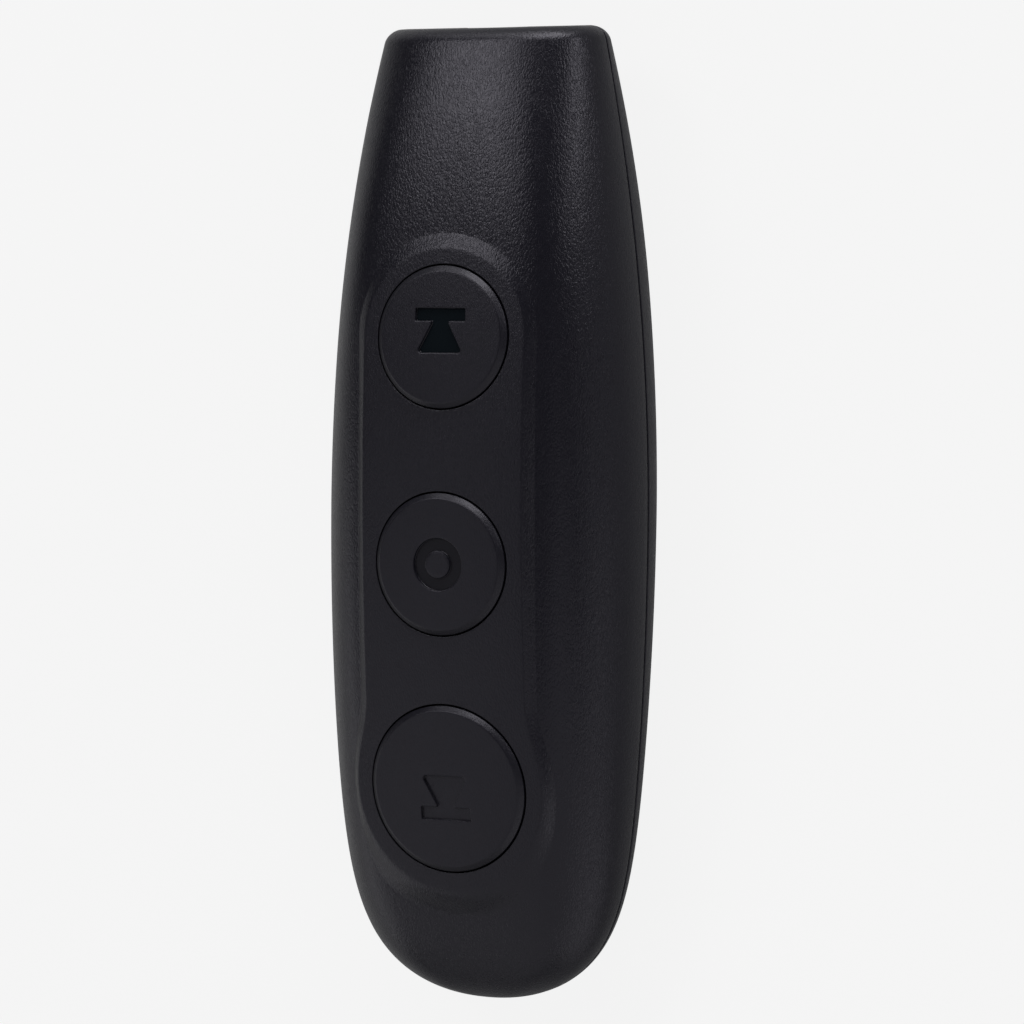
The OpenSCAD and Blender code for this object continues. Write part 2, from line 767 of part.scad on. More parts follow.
module previous_button() {
    color("#232328") at_seam() cap(0) previous_icon();
}
module pointer_button() {
    color("#232328") at_seam() cap(1) pointer_icon();
}
module next_button() {
    color("#232328") at_seam() cap(2) next_icon();
}

plunger_gap = 0.1;
switch_floor = 0.2;
foot_l = 1;
foot_w = 0.7;
foot_t = 0.3;
foot_y = 1.6;
module switch_body(i) {
    color("#c9c9cc") at_seam() translate([0, button_ys[i], board_top]) {
        difference() {
            translate([-switch_w / 2, -switch_w / 2, 0]) cube([switch_w, switch_w, switch_h]);
            translate([0, 0, switch_floor]) cylinder(d = plunger_d + 2 * plunger_gap, h = switch_h);
        }
        for (sx = [-1, 1])
            for (sy = [-1, 1])
                translate([sx * (switch_w + foot_l) / 2 - foot_l / 2 - sx * plunger_gap,
                        sy * foot_y - foot_w / 2, 0])
                    cube([foot_l, foot_w, foot_t]);
    }
}
plunger_stop = 0.15;
module plunger(i) {
    sink = switch_h - switch_floor - travel - plunger_stop;
    color("#17171a") at_seam() translate([0, button_ys[i], switch_top - sink])
        cylinder(d = plunger_d, h = sink + plunger_out, $fn = 32);
}
module previous_switch() {
    switch_body(0);
}
module pointer_switch() {
    switch_body(1);
}
module next_switch() {
    switch_body(2);
}
module previous_plunger() {
    plunger(0);
}
module pointer_plunger() {
    plunger(1);
}
module next_plunger() {
    plunger(2);
}

// Board: it follows the body's outline, with a tongue towards the laser
board_end_y = end_y - 16.5;
board_tail_y = tail_y + 14.5;
tongue_w = 9;
tongue_margin = 1.2;
wire_y = wire_start_y - wire_end - wire_bend;
module circuit_board() {
    color("#1f5a34") at_seam() translate([0, 0, board_lift]) difference() {
        union() {
            linear_extrude(board_t) intersection() {
                plan_outline(board_inset);
                translate([-body_w / 2, board_tail_y]) square([body_w, board_end_y - board_tail_y]);
            }
            translate([-tongue_w / 2, 0, 0]) cube([tongue_w, wire_y + tongue_margin, board_t]);
        }
        for (p = board_screw_xy)
            translate([p[0], p[1], -1]) cylinder(r = board_screw_r + through_gap, h = board_t + 2, $fn = 24);
        for (s = [-1, 1])
            translate([s * pin_x, wire_y, -1]) cylinder(r = wire_r + pilot_gap, h = board_t + 2, $fn = 16);
    }
}

// Chips lie on the board's upper face, between the switches
module on_board(x, y) {
    at_seam() translate([x, y, board_top]) children();
}
module chip(size) {
    translate([-size[0] / 2, -size[1] / 2, 0]) cube(size);
}
controller_size = [5, 5, 0.9];
radio_size = [4, 4, 0.8];
crystal_size = [3.2, 2.5, 0.8];
antenna_size = [5, 1.6, 1.2];
small_size = [0.8, 1.6, 0.5];
between_low_y = middle_y - button_pitch / 2;
between_high_y = middle_y + button_pitch / 2;
module controller_chip() {
    color("#1a1a1c") on_board(4.4, between_low_y) chip(controller_size);
}
module radio_chip() {
    color("#1a1a1c") on_board(-3.6, between_high_y) chip(radio_size);
}
module crystal() {
    color("#c9c9cc") on_board(-2.4, between_low_y) chip(crystal_size);
}
module small_components() {
    color("#8a6a44") {
        for (i = [0:3]) on_board(1 + 2 * small_size[0] * i, between_high_y - 1) chip(small_size);
        for (i = [0:2]) on_board(-7.2 + 1.75 * small_size[0] * i, between_low_y) chip(small_size);
        for (i = [0:1]) on_board(-1 + 2.5 * small_size[0] * i, board_end_y - 5) chip(small_size);
    }
}
module chip_antenna() {
    color("#d8d2c0") on_board(6.5, board_tail_y + 0.6 + antenna_size[1] / 2) chip(antenna_size);
}

nub_w = 1.2;
nub_l = 1;
module power_switch() {
    color("#c9c9cc") at_seam() difference() {
        translate([power_x, slider_y, power_z]) translate([-power_w / 2, -power_l / 2, -power_h / 2])
            cube([power_w, power_l, power_h]);
        translate([power_x - power_w, slider_y - nub_w / 2 - slider_travel / 2 - 0.15, power_z - 0.4])
            cube([power_w / 2 + nub_l + 0.2, nub_w + slider_travel + 0.3, 0.8]);
    }
}

// The slider is drawn at the off end of its slot
module power_slider() {
    off_y = slider_y - slider_travel / 2;
    outer_x = -body_x(off_y, power_z + knob_h / 2) + knob_drop;
    color("#1b1b1f") at_seam() {
        translate([outer_x, off_y - knob_l / 2, power_z - knob_h / 2]) difference() {
            cube([keeper_x + keeper_t / 2 - outer_x, knob_l, knob_h]);
            for (i = [1:3])
                translate([-0.1, knob_l * i / 4 - 0.2, -1]) cube([0.4, 0.4, knob_h + 2]);
        }
        translate([keeper_x, off_y - keeper_l / 2 + slider_travel / 2, power_z - keeper_h / 2])
            cube([keeper_t, keeper_l - slider_travel, keeper_h]);
        translate([keeper_x + keeper_t / 2, off_y - nub_w / 2, power_z - 0.3])
            cube([power_x - power_w / 2 + nub_l - keeper_x - keeper_t / 2, nub_w, 0.6]);
    }
}

module along_cell(y) {
    at_seam() translate([0, y, cell_z]) rotate([-90, 0, 0]) children();
}
cell_nub_h = 1;
cell_nub_r = 1.9;
module battery_cell() {
    color("#3c6e8f") along_cell(cell_back_y) {
        cylinder(d = cell_d, h = cell_l - cell_nub_h);
        cylinder(r = cell_nub_r, h = cell_l);
    }
}
contact_w = cell_d - 2.9;
contact_h = cell_d - 1.7;
module contact_plate() {
    translate([-contact_w / 2, -contact_h / 2, 0]) cube([contact_w, contact_h, contact_t]);
}
module positive_contact() {
    color("#d0d0d4") along_cell(cell_front_y) contact_plate();
}
module negative_contact() {
    color("#d0d0d4") along_cell(partition_y + contact_gap) contact_plate();
}

// Conical spring: an unbroken round wire that winds from the plate to the cell
spring_turns = 4;
spring_wire_r = 0.25;
spring_big_r = 3.4;
spring_small_r = 1.6;
spring_gap = 0.02;
module battery_spring() {
    steps = 14 * spring_turns;
    sides = 6;
    length = spring_l - 2 * spring_wire_r - 2 * spring_gap;
    rings = [for (j = [0:steps])
        let (t = j / steps, a = 360 * spring_turns * t,
            r = spring_big_r + (spring_small_r - spring_big_r) * t)
        [for (i = [0:sides - 1])
            let (b = 360 * i / sides, w = r + spring_wire_r * cos(b))
            [w * cos(a), w * sin(a), length * t + spring_wire_r * sin(b)]]];
    faces = [for (j = [0:steps - 1], i = [0:sides - 1])
        let (a = j * sides + i, b = j * sides + (i + 1) % sides)
        each [[a, b, b + sides], [a, b + sides, a + sides]]];
    first = [for (i = [1:sides - 2]) [0, i + 1, i]];
    last = [for (i = [1:sides - 2]) [steps * sides, steps * sides + i, steps * sides + i + 1]];
    color("#d0d0d4") along_cell(partition_y + contact_gap + contact_t + spring_wire_r + spring_gap)
        polyhedron([for (r = rings) each r], concat(faces, first, last));
}

// A screw along +z with its head below z = 0, and a cross recess
recess_w = 0.4;
recess_depth = 0.5;
seat_gap = 0.02;
module screw(r, l, head_r, head_h) {
    translate([0, 0, -seat_gap]) {
        cylinder(r = r, h = l, $fn = 24);
        difference() {
            translate([0, 0, -head_h]) cylinder(r = head_r, h = head_h, $fn = 32);
            for (a = [0, 90])
                rotate([0, 0, a]) translate([-head_r * 0.6, -recess_w / 2, recess_depth - head_h - 1])
                    cube([head_r * 1.2, recess_w, 1]);
        }
    }
}
module board_screws() {
    color("#8c8c90") at_seam() for (p = board_screw_xy)
        translate([p[0], p[1], board_lift]) screw(board_screw_r, board_screw_l, board_head_r, board_head_h);
}
module shell_screws() {
    color("#8c8c90") at_seam() for (p = shell_screw_xy)
        translate([p[0], p[1], shell_head_z]) screw(shell_screw_r, shell_screw_l, shell_head_r, shell_head_h);
}

// Receiver, put away in the bay with its plug towards the cell
receiver_lift = 0.9;
receiver_z = -rear_depth(bay_tail_y) * cavity_fr + receiver_cap_h / 2 + receiver_lift;
receiver_tail_y = bay_tail_y + receiver_gap;
socket_depth = 2;
socket_gap = 0.05;
plug_sunk = socket_depth - 2 * socket_gap;
plug_y = receiver_tail_y + receiver_cap_l - plug_sunk;
plug_t = 0.3;
plug_corner_r = 0.45;
window_x = 2.8;
window_y = 6;
window_w = 2.2;
window_l = 2.4;
module receiver_cap() {
    color("#1b1b1f") at_seam() translate([0, receiver_tail_y, receiver_z]) difference() {
        linear_extrude_y(receiver_cap_l) rounded_rect(receiver_w, receiver_cap_h, 1.2);
        translate([0, receiver_cap_l - socket_depth, 0]) linear_extrude_y(socket_depth + 1)
            rounded_rect(plug_w + 2 * socket_gap, plug_h + 2 * socket_gap, plug_corner_r + socket_gap);
    }
}
module receiver_plug() {
    color("#c9c9cc") at_seam() translate([0, plug_y, receiver_z]) difference() {
        linear_extrude_y(plug_l + plug_sunk) rounded_rect(plug_w, plug_h, plug_corner_r);
        translate([0, plug_t, 0]) linear_extrude_y(plug_l + plug_sunk)
            rounded_rect(plug_w - 2 * plug_t, plug_h - 2 * plug_t, plug_corner_r / 2);
        for (s = [-1, 1])
            translate([s * window_x - window_w / 2, window_y, -plug_h])
                cube([window_w, window_l, 2 * plug_h]);
    }
}
// Insulator that fills the lower part of the plug
tongue_gap = 0.05;
insulator_h = 1.9;
module receiver_tongue() {
    color("#e8e8ea") at_seam() translate([0, plug_y + plug_t + tongue_gap, receiver_z])
        translate([-plug_w / 2 + plug_corner_r + 2 * tongue_gap, 0, -plug_h / 2 + plug_t + tongue_gap])
            cube([plug_w - 2 * plug_corner_r - 4 * tongue_gap, plug_l + plug_sunk - 3 * plug_t, insulator_h]);
}
module linear_extrude_y(l) {
    rotate([-90, 0, 0]) linear_extrude(l) children();
}
module rounded_rect(w, h, r) {
    square([w - 2 * r, h], center = true);
    square([w, h - 2 * r], center = true);
    for (sx = [-1, 1])
        for (sy = [-1, 1])
            translate([sx * (w / 2 - r), sy * (h / 2 - r)]) circle(r = r, $fn = 24);
}

front_shell();
rear_shell();
battery_cover();
end_window_ring();
end_lens();
laser_barrel();
laser_diode();
laser_wires();
previous_button();
pointer_button();
next_button();
previous_switch();
pointer_switch();
next_switch();
previous_plunger();
pointer_plunger();
next_plunger();
circuit_board();
controller_chip();
radio_chip();
crystal();
small_components();
chip_antenna();
power_switch();
power_slider();
battery_cell();
positive_contact();
negative_contact();
battery_spring();
board_screws();
shell_screws();
receiver_cap();
receiver_plug();
receiver_tongue();
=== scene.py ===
from math import acos, atan2, cos, pi, radians, sin, sqrt, tan

import bmesh
import bpy
import numpy as np
from mathutils import Matrix, Vector


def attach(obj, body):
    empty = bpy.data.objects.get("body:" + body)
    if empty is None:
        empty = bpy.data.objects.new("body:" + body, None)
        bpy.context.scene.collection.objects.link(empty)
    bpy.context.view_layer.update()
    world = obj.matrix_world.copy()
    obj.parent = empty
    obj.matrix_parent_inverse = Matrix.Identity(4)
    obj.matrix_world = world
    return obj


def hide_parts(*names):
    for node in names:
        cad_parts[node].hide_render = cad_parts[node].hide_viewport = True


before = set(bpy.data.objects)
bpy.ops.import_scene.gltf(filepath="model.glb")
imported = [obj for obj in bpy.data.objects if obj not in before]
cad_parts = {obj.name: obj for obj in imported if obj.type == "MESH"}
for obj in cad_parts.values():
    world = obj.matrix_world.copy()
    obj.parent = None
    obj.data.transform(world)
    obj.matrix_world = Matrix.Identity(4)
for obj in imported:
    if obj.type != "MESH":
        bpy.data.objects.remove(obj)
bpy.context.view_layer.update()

# All shapes are computed in millimetres with z = 0 at the seam between the shells,
# and turned into the frame's metres when a mesh is made.
MM = 0.001
SEAM_Z = 10.2
WELD = 1e-5

# Body
END_Y, TAIL_Y = 52.5, -52.5
BODY_R, END_R, WIDEST_Y = 18.2, 12.4, -1.0
FRONT_H, FRONT_END_H, FRONT_PEAK_Y = 12.5, 7.8, 17.5
REAR_H, REAR_END_H, REAR_PEAK_Y = 11.4, 6.0, 24.7
# How much each profile narrows before its tail, and the two powers of the tail's rounding
WIDTH_TAPER, WIDTH_POWERS = 3.3, (9.5, 2.1)
FRONT_TAPER, FRONT_POWERS = 3.0, (5.2, 1.64)
REAR_TAPER, REAR_POWERS = 6.8, (14.5, 2.5)
BELLY_H, BELLY_BLEND, WALL = 10.2, 0.6, 1.6
END_ROUND, END_SLANT, SLANT_RUN = 1.5, 0.08, 10.0
FULLNESS, CROWN_FULLNESS = 2.38, 3.4
CROWN_FROM, CROWN_TO, CROWN_FADE_Y = 0.5, 0.95, 22.0
SEAM_GAP, FRONT_LIP, REAR_LIP = 0.25, 0.12, 0.12
CAVITY_FX = (BODY_R - WALL) / BODY_R
CAVITY_FY = (END_Y - WALL) / END_Y
CAVITY_FF = (FRONT_H - WALL) / FRONT_H
CAVITY_FR = (REAR_H - WALL) / REAR_H
CAVITY_FLOOR = BELLY_H - WALL
CAVITY_TIP_L = 12

# Panel and buttons
PANEL_R, LOBE_R, WAIST_BLEND = 9.4, 10.8, 2.5
BORDER_W, BORDER_END_W, BORDER_TAIL_W = 1.0, 1.5, 3.2
BORDER_END_Y = 12.0
EDGE_SOFT, FOOT_SOFT, PANEL_BLEND = 0.1, 0.06, 0.1
PANEL_H, PANEL_ARC_R, PANEL_CROWN_R, PANEL_PEAK_Y = 13.4, 262.0, 90.0, 6.85
BUTTON_YS = (19.15, -4.85, -28.85)
CAP_RS = (7.53, 7.53, 8.94)
CAP_GAP, HOLE_ROUND = 0.18, 0.06
CAP_RISE, BEVEL_W, BEVEL_H = 0.55, 0.55, 0.47
BEVEL_TOP_R, BEVEL_FOOT_R = 0.3, 0.08
FLANGE_RS = (8.21, 8.21, 9.62)
FLANGE_GAP, FLANGE_T, FLANGE_EDGE = 0.1, 0.7, 0.08
SEAT_RS = (8.81, 8.81, 10.22)
SEAT_ZS = (10.344, 10.154, 6.833)
CAP_SKIN, CAP_SKIRT, STEM_R, STEM_EDGE = 1.8, 1.2, 1.5, 0.15
PLUNGER_TOP = 6.2
ICON_DEPTH, ICON_EDGE = 0.35, 0.1

# Battery bay
HATCH_X, HATCH_END_Y, HATCH_TAIL_Y, HATCH_CORNER = 8.0, 37.4, -31.4, 1.5
HATCH_GAP, HATCH_EDGE = 0.2, 0.18
FAN_FRONT_Y, FAN_TAIL_Y = HATCH_END_Y - HATCH_X, HATCH_TAIL_Y + HATCH_X
HOOK_X, HOOK_R, HOOK_SLOT_R, HOOK_L = 5.3, 1.1, 1.4, 2.6
BAY_WALL, BAY_TOP, WELL_Z = 0.8, 2.1, -6.4
RIB_T, RIB_GAP, RAIL_X, RAIL_Z = 0.8, 0.1, 4, -0.087
PARTITION_Y = -11.2
SCOOP_R, SCOOP_X, SCOOP_OUT = 4, 4.9, 3
CELL_R, CELL_L, CELL_Z, CELL_BACK_Y = 5.25, 44.5, -3.25, -7.5
SPRING_BIG_R, SPRING_SMALL_R, SPRING_WIRE_R, SPRING_L, SPRING_TURNS = 3.4, 1.6, 0.25, 3.3, 4
CONTACT_GAP, CONTACT_T, TOUCH_GAP = 0.1, 0.3, 0.02

# Screws and bosses
SHELL_SCREWS = ((8.6, 41.0), (-8.6, 41.0), (8.0, -41.5), (-8.0, -41.5))
BOARD_SCREWS = ((11.2, 7.0), (-11.2, 7.0), (10.6, -17.0), (-10.6, -17.0))
POST_R, COUNTERBORE_R, SHELL_HEAD_Z, SHELL_HOLE_R = 2.5, 2.05, -3.2, 1.1
SHELL_PILOT_R, SHELL_PILOT_TOP = 1.0, 4.9
BOSS_R, BOARD_TOP, BOARD_PILOT_R, BOARD_PILOT_TOP = 1.9, 4.2, 0.85, 7.8
SPLIT_GAP = 0.05
# Heights that lie outside the shells, for cutters that go right through
OVER, UNDER = 13, -12

# Laser in the flat end
END_INNER_Y = END_Y - WALL
BEZEL_R, BEZEL_FLANGE_R, BEZEL_GAP, BEZEL_FLANGE_L, BEZEL_BORE_R = 3.6, 4.4, 0.1, 0.9, 2.2
BEZEL_INSET, BEZEL_EDGE, WINDOW_SEAT_R, WINDOW_R, WINDOW_T = 0.3, 0.15, 2.8, 2.75, 0.8
CRADLE_YS, CRADLE_T, CRADLE_X, CRADLE_H, BARREL_SEAT_R = (43.1, 46.7), 1.2, 5, 10.2, 3.1

# Power slider
SLIDER_Y, POWER_Z, POWER_X, SLOT_X = 30.0, 2.5, -10.55, -13.82
KNOB_L, KNOB_H, KNOB_INSET, SLIDER_TRAVEL, SLIDER_GAP = 3.2, 1.6, 0.15, 2.0, 0.2
SLOT_FLARE, KNOB_RIBS, KNOB_GROOVE_R = 0.14, 6, 0.17
KEEPER_H, KEEPER_T, KEEPER_GAP = 2.8, 0.8, 0.5


def add_object(name, data):
    obj = bpy.data.objects.new(name, data)
    bpy.context.scene.collection.objects.link(obj)
    return obj


# Camera
AZIMUTH, ELEVATION, ROLL = radians(25.6695), radians(2.3709), radians(0.5429)
AIM_Y, EYE_RIGHT, EYE_UP, EYE_BACK = -0.952, 1.937, 1.192, 489.1
back = Vector((sin(AZIMUTH) * cos(ELEVATION), sin(ELEVATION),
               cos(AZIMUTH) * cos(ELEVATION)))
level_right = Vector((cos(AZIMUTH), 0, -sin(AZIMUTH)))
level_up = back.cross(level_right)
right = level_right * cos(ROLL) + level_up * sin(ROLL)
up = level_up * cos(ROLL) - level_right * sin(ROLL)
eye = Vector((0, AIM_Y, SEAM_Z)) * MM + (right * EYE_RIGHT + up * EYE_UP + back * EYE_BACK) * MM
camera_data = bpy.data.cameras.new("camera")
camera_data.lens = 158.95
camera_data.sensor_width = 36
camera_data.clip_start = 0.01
camera = add_object("camera", camera_data)
camera.matrix_world = Matrix.Translation(eye) @ Matrix((right, up, back)).transposed().to_4x4()
bpy.context.scene.camera = camera
bpy.context.scene.view_settings.view_transform = "Standard"


# Formulas of the body
def profile(y, peak, end, peak_y, taper, powers):
    """Size of the body at y: a parabola to the flat end, a rounded taper to the tail."""
    y = np.asarray(y, float)
    q = np.clip((peak_y - y) / (peak_y - TAIL_Y), 0, 1)
    tail = (peak - taper * q * q) * (1 - q ** powers[0]) ** (1 / powers[1])
    head = peak - (peak - end) * ((y - peak_y) / (END_Y - peak_y)) ** 2
    return np.where(y > peak_y, head, tail)


def half_width(y):
    return profile(y, BODY_R, END_R, WIDEST_Y, WIDTH_TAPER, WIDTH_POWERS)


def front_height(y):
    return profile(y, FRONT_H, FRONT_END_H, FRONT_PEAK_Y, FRONT_TAPER, FRONT_POWERS)


def rear_depth(y):
    return profile(y, REAR_H, REAR_END_H, REAR_PEAK_Y, REAR_TAPER, REAR_POWERS)


def rim_inset(y):
    d = np.clip(np.asarray(y, float) - (END_Y - END_ROUND), 0, END_ROUND)
    return END_ROUND - np.sqrt(END_ROUND ** 2 - d ** 2)


def section(x, half, height):
    """Height of a superellipse section at x."""
    share = np.clip(np.abs(x) / np.maximum(half, 1e-9), 0, 1)
    return height * (1 - share ** FULLNESS) ** (1 / FULLNESS)


def smooth_min(a, b, k):
    h = np.maximum(0, k - np.abs(a - b)) / k
    return np.minimum(a, b) - h * h * k / 4


def smooth_max(a, b, k):
    return -smooth_min(-a, -b, k)


def ease(t):
    """A smooth step from 0 to 1."""
    t = np.clip(t, 0, 1)
    return t * t * (3 - 2 * t)


def crown(share, y):
    """Height of the front's section at a share of its half-width: full on top, softer at the sides."""
    fade = ease((y - CROWN_FADE_Y) / (END_Y - CROWN_FADE_Y))
    full = CROWN_FULLNESS + (FULLNESS - CROWN_FULLNESS) * fade
    power = full + (FULLNESS - full) * ease((share - CROWN_FROM) / (CROWN_TO - CROWN_FROM))
    return (1 - share ** power) ** (1 / power)


def front_body(x, y):
    y = np.asarray(y, float)
    share = np.clip(np.abs(x) / np.maximum(half_width(y) - rim_inset(y), 1e-9), 0, 1)
    return (front_height(y) - rim_inset(y)) * crown(share, y)


def rear_body(x, y):
    depth = section(x, half_width(y) - rim_inset(y), rear_depth(y) - rim_inset(y))
    return smooth_min(depth, BELLY_H, BELLY_BLEND)


def side_x(y, z):
    """Half-width of the front at height z."""
    return section(z, front_height(y), half_width(y))


def panel_z(x, y):
    along = PANEL_ARC_R - np.sqrt(PANEL_ARC_R ** 2 - (y - PANEL_PEAK_Y) ** 2)
    across = PANEL_CROWN_R - np.sqrt(PANEL_CROWN_R ** 2 - x * x)
    return PANEL_H - along - across


def panel_distance(x, y):
    capsule = np.hypot(x, y - np.clip(y, BUTTON_YS[2], BUTTON_YS[0])) - PANEL_R
    lobe = np.hypot(x, y - BUTTON_YS[2]) - LOBE_R
    return smooth_min(capsule, lobe, WAIST_BLEND)


def tail_share(y):
    return np.clip((BUTTON_YS[2] - y) / LOBE_R, 0, 1)


def border_at(y):
    """Width of the border: it widens round the panel's top end, and more at the tail."""
    widens = np.clip((y - BORDER_END_Y) / (BUTTON_YS[0] + PANEL_R - BORDER_END_Y), 0, 1) ** 2
    at_tail = (BORDER_TAIL_W - BORDER_W) * tail_share(y) ** 2
    return BORDER_W + at_tail + (BORDER_END_W - BORDER_W) * widens


def front_z(x, y):
    """Height of the front above the seam: body, raised panel, and the border between."""
    body = front_body(x, y)
    t = panel_distance(x, y) / border_at(y)
    t = (t + np.sqrt(t * t + EDGE_SOFT ** 2)) / 2
    straight = (1 - t + np.sqrt((1 - t) ** 2 + FOOT_SOFT ** 2)) / 2
    bent = np.where(t < 1, 1 - t * t * (3 - 2 * t), 0)
    soft = tail_share(y)
    stays = straight * (1 - soft) + bent * soft
    return body + (smooth_max(panel_z(x, y), body, PANEL_BLEND) - body) * stays


def inside_skin(x, y, z, side):
    """True inside the body. side is 1 above the seam and -1 below it."""
    if side > 0:
        shear = END_SLANT * z / SLANT_RUN
        upright = (y - shear * (END_Y - SLANT_RUN)) / (1 - shear)
        y = np.where(y > END_Y - SLANT_RUN, upright, y)
    near = np.clip(y, TAIL_Y, END_Y)
    height = front_body(x, near) if side > 0 else rear_body(x, near)
    wide = np.abs(x) < half_width(near) - rim_inset(near)
    return (y < END_Y) & (y > TAIL_Y) & wide & (np.abs(z) < height)


# Spokes and curves
def quarter(steps):
    """A quarter circle from its start to its end, as pairs of 1 - sine and 1 - cosine."""
    return [(1 - sin(a), 1 - cos(a)) for a in np.linspace(0, pi / 2, steps + 1)]


def xyz(x, y, z):
    """Points from arrays of coordinates, any of which may be a single number."""
    return np.stack(np.broadcast_arrays(x, y, z), 1)


def mirrored(half):
    """A closed loop from its right-hand half."""
    half = np.asarray(half, float)
    left = half[-2:0:-1] * np.array([-1, 1, 1])
    return np.vstack([half, left])


def steps_and_turns(curve):
    """Lengths of a curve's steps, and the angle between each step and the next."""
    step = np.diff(curve, axis=0)
    length = np.linalg.norm(step, axis=1)
    unit = step / np.maximum(length, 1e-9)[:, None]
    return length, np.arccos(np.clip((unit[1:] * unit[:-1]).sum(1), -1, 1))


def resample(curve, count, bend=0.35):
    """Points along a curve, evenly spread by its length and by how much it turns."""
    length, turn = steps_and_turns(curve)
    turn = np.convolve(np.r_[turn, turn[-1:]], np.ones(5) / 5, "same")
    weight = np.r_[0, np.cumsum(length / length.sum() + bend * turn / max(turn.sum(), 0.2))]
    at = np.linspace(0, weight[-1], count)
    return np.stack([np.interp(at, weight, curve[:, k]) for k in range(curve.shape[1])], 1)


def reach(inside, spokes, high=70.0):
    """Length of each ray for which inside(length) is still true, by halving."""
    low = np.zeros(spokes)
    high = np.full(spokes, high, float)
    for _ in range(36):
        middle = (low + high) / 2
        ok = inside(middle)
        low = np.where(ok, middle, low)
        high = np.where(ok, high, middle)
    return low


def plan_reach(inside, high=70.0):
    """A function for the length of rays in plan, from a base y at an angle, within inside(x, y)."""
    return lambda base, angle: reach(
        lambda r: inside(r * np.cos(angle), base + r * np.sin(angle)), np.shape(angle), high)


def seam_reach(side):
    return plan_reach(lambda x, y: inside_skin(x, y, 0 * x, side))


class Spokes:
    """Rays from the middle line: two quarter fans and the straight side between them."""

    def __init__(self, front_base, tail_base, side_steps, loops, spacing):
        angles = np.radians(np.linspace(90, 0, 1801))
        fans = []
        for base, sign in ((front_base, 1), (tail_base, -1)):
            weight = np.zeros(len(angles))
            for loop, gap in zip(loops, spacing):
                r = loop(np.full(len(angles), base), angles * sign)
                length, turn = steps_and_turns(np.stack([r * np.cos(angles), r * np.sin(angles)], 1))
                turn = np.convolve(np.r_[turn, 0], np.ones(21) / 21, "same")
                weight[1:] += length / gap + turn / radians(7)
            weight = np.cumsum(weight)
            count = max(8, int(round(weight[-1])))
            fans.append(np.interp(np.linspace(0, weight[-1], count + 1), weight, angles) * sign)
        sides = np.linspace(front_base, tail_base, side_steps + 1)
        self.fan_count = len(fans[0]) - 1
        self.side_steps = side_steps
        self.base = np.r_[np.full(self.fan_count, front_base), sides,
                          np.full(len(fans[1]) - 1, tail_base)]
        self.angle = np.r_[fans[0][:-1], np.zeros(side_steps + 1), fans[1][::-1][1:]]
        self.half = len(self.base)
        self.count = 2 * (self.half - 1)

    def at(self, r):
        return r * np.cos(self.angle), self.base + r * np.sin(self.angle)

    def loop(self, r, z):
        """A closed loop of points at length r along the rays, at height z."""
        return mirrored(xyz(*self.at(r), z))

    def skirt(self, side, start_elevation, count, gap, lip):
        """The row of points at the seam, and the loops down to it and over its rounded edge."""
        elevation = start_elevation * (1 - np.linspace(0, 1, 320)[:, None])
        flat, rise = np.cos(elevation), np.sin(elevation) * side
        outward = xyz(np.cos(self.angle), np.sin(self.angle), 0)
        flat_x, flat_y = flat * outward[:, 0], flat * outward[:, 1]
        r = reach(lambda t: inside_skin(t * flat_x, self.base + t * flat_y, t * rise, side), flat.shape)
        points = np.stack([r * flat_x, self.base + r * flat_y, r * rise], 2)
        rows = []
        for j in range(self.half):
            curve = points[:, j]
            if gap:
                keep = np.abs(curve[:, 2]) >= gap
                last, after = curve[keep][-1], curve[~keep][0]
                f = (abs(last[2]) - gap) / max(abs(last[2]) - abs(after[2]), 1e-9)
                curve = np.vstack([curve[keep], last + (after - last) * f])
            rows.append(resample(curve, count))
        rows = np.stack(rows, 1)
        loops = [mirrored(row) for row in rows[1:-1] if np.abs(row[:, 2]).min() > gap + lip * 1.5]
        for rise, inset in quarter(3):
            ring = rows[-1] - outward * lip * inset
            ring[:, 2] = side * (gap + lip * rise)
            loops.append(mirrored(ring))
        return rows[-1], loops


# Mesh helpers
class Shape:
    """Points and faces of one closed mesh, in mm, z from the seam."""

    def __init__(self):
        self.points, self.faces, self.tags = [], [], []

    def add(self, points):
        points = np.asarray(points, float).reshape(-1, 3)
        start = len(self.points)
        self.points.extend(points.tolist())
        return list(range(start, start + len(points)))

    def face(self, ids, tag=0):
        ids = [int(v) for k, v in enumerate(ids) if v != ids[k - 1]]
        if len(set(ids)) >= 3:
            self.faces.append(ids)
            self.tags.append(tag)

    def band(self, a, b, tag=0):
        for i in range(len(a)):
            j = (i + 1) % len(a)
            self.face((a[i], a[j], b[j], b[i]), tag)

    def rows(self, rows, last=None):
        """Adds closed rows of points joined by bands, and returns the last row's numbers."""
        for row in rows:
            ids = self.add(row)
            if last is not None:
                self.band(last, ids)
            last = ids
        return last

    def tube(self, rows):
        """Adds rows joined by bands, with a face over each end."""
        first = self.rows(rows[:1])
        last = self.rows(rows[1:], first)
        self.face(first[::-1])
        self.face(last)

    def build(self, name):
        mesh = bpy.data.meshes.new(name)
        points = np.array(self.points)
        points[:, 2] += SEAM_Z
        mesh.from_pydata((points * MM).tolist(), [], self.faces)
        mesh.polygons.foreach_set("material_index", self.tags)
        work = bmesh.new()
        work.from_mesh(mesh)
        bmesh.ops.remove_doubles(work, verts=work.verts, dist=WELD * MM)
        bmesh.ops.recalc_face_normals(work, faces=work.faces)
        if work.calc_volume(signed=True) < 0:
            bmesh.ops.reverse_faces(work, faces=work.faces)
        work.to_mesh(mesh)
        work.free()
        return add_object(name, mesh)


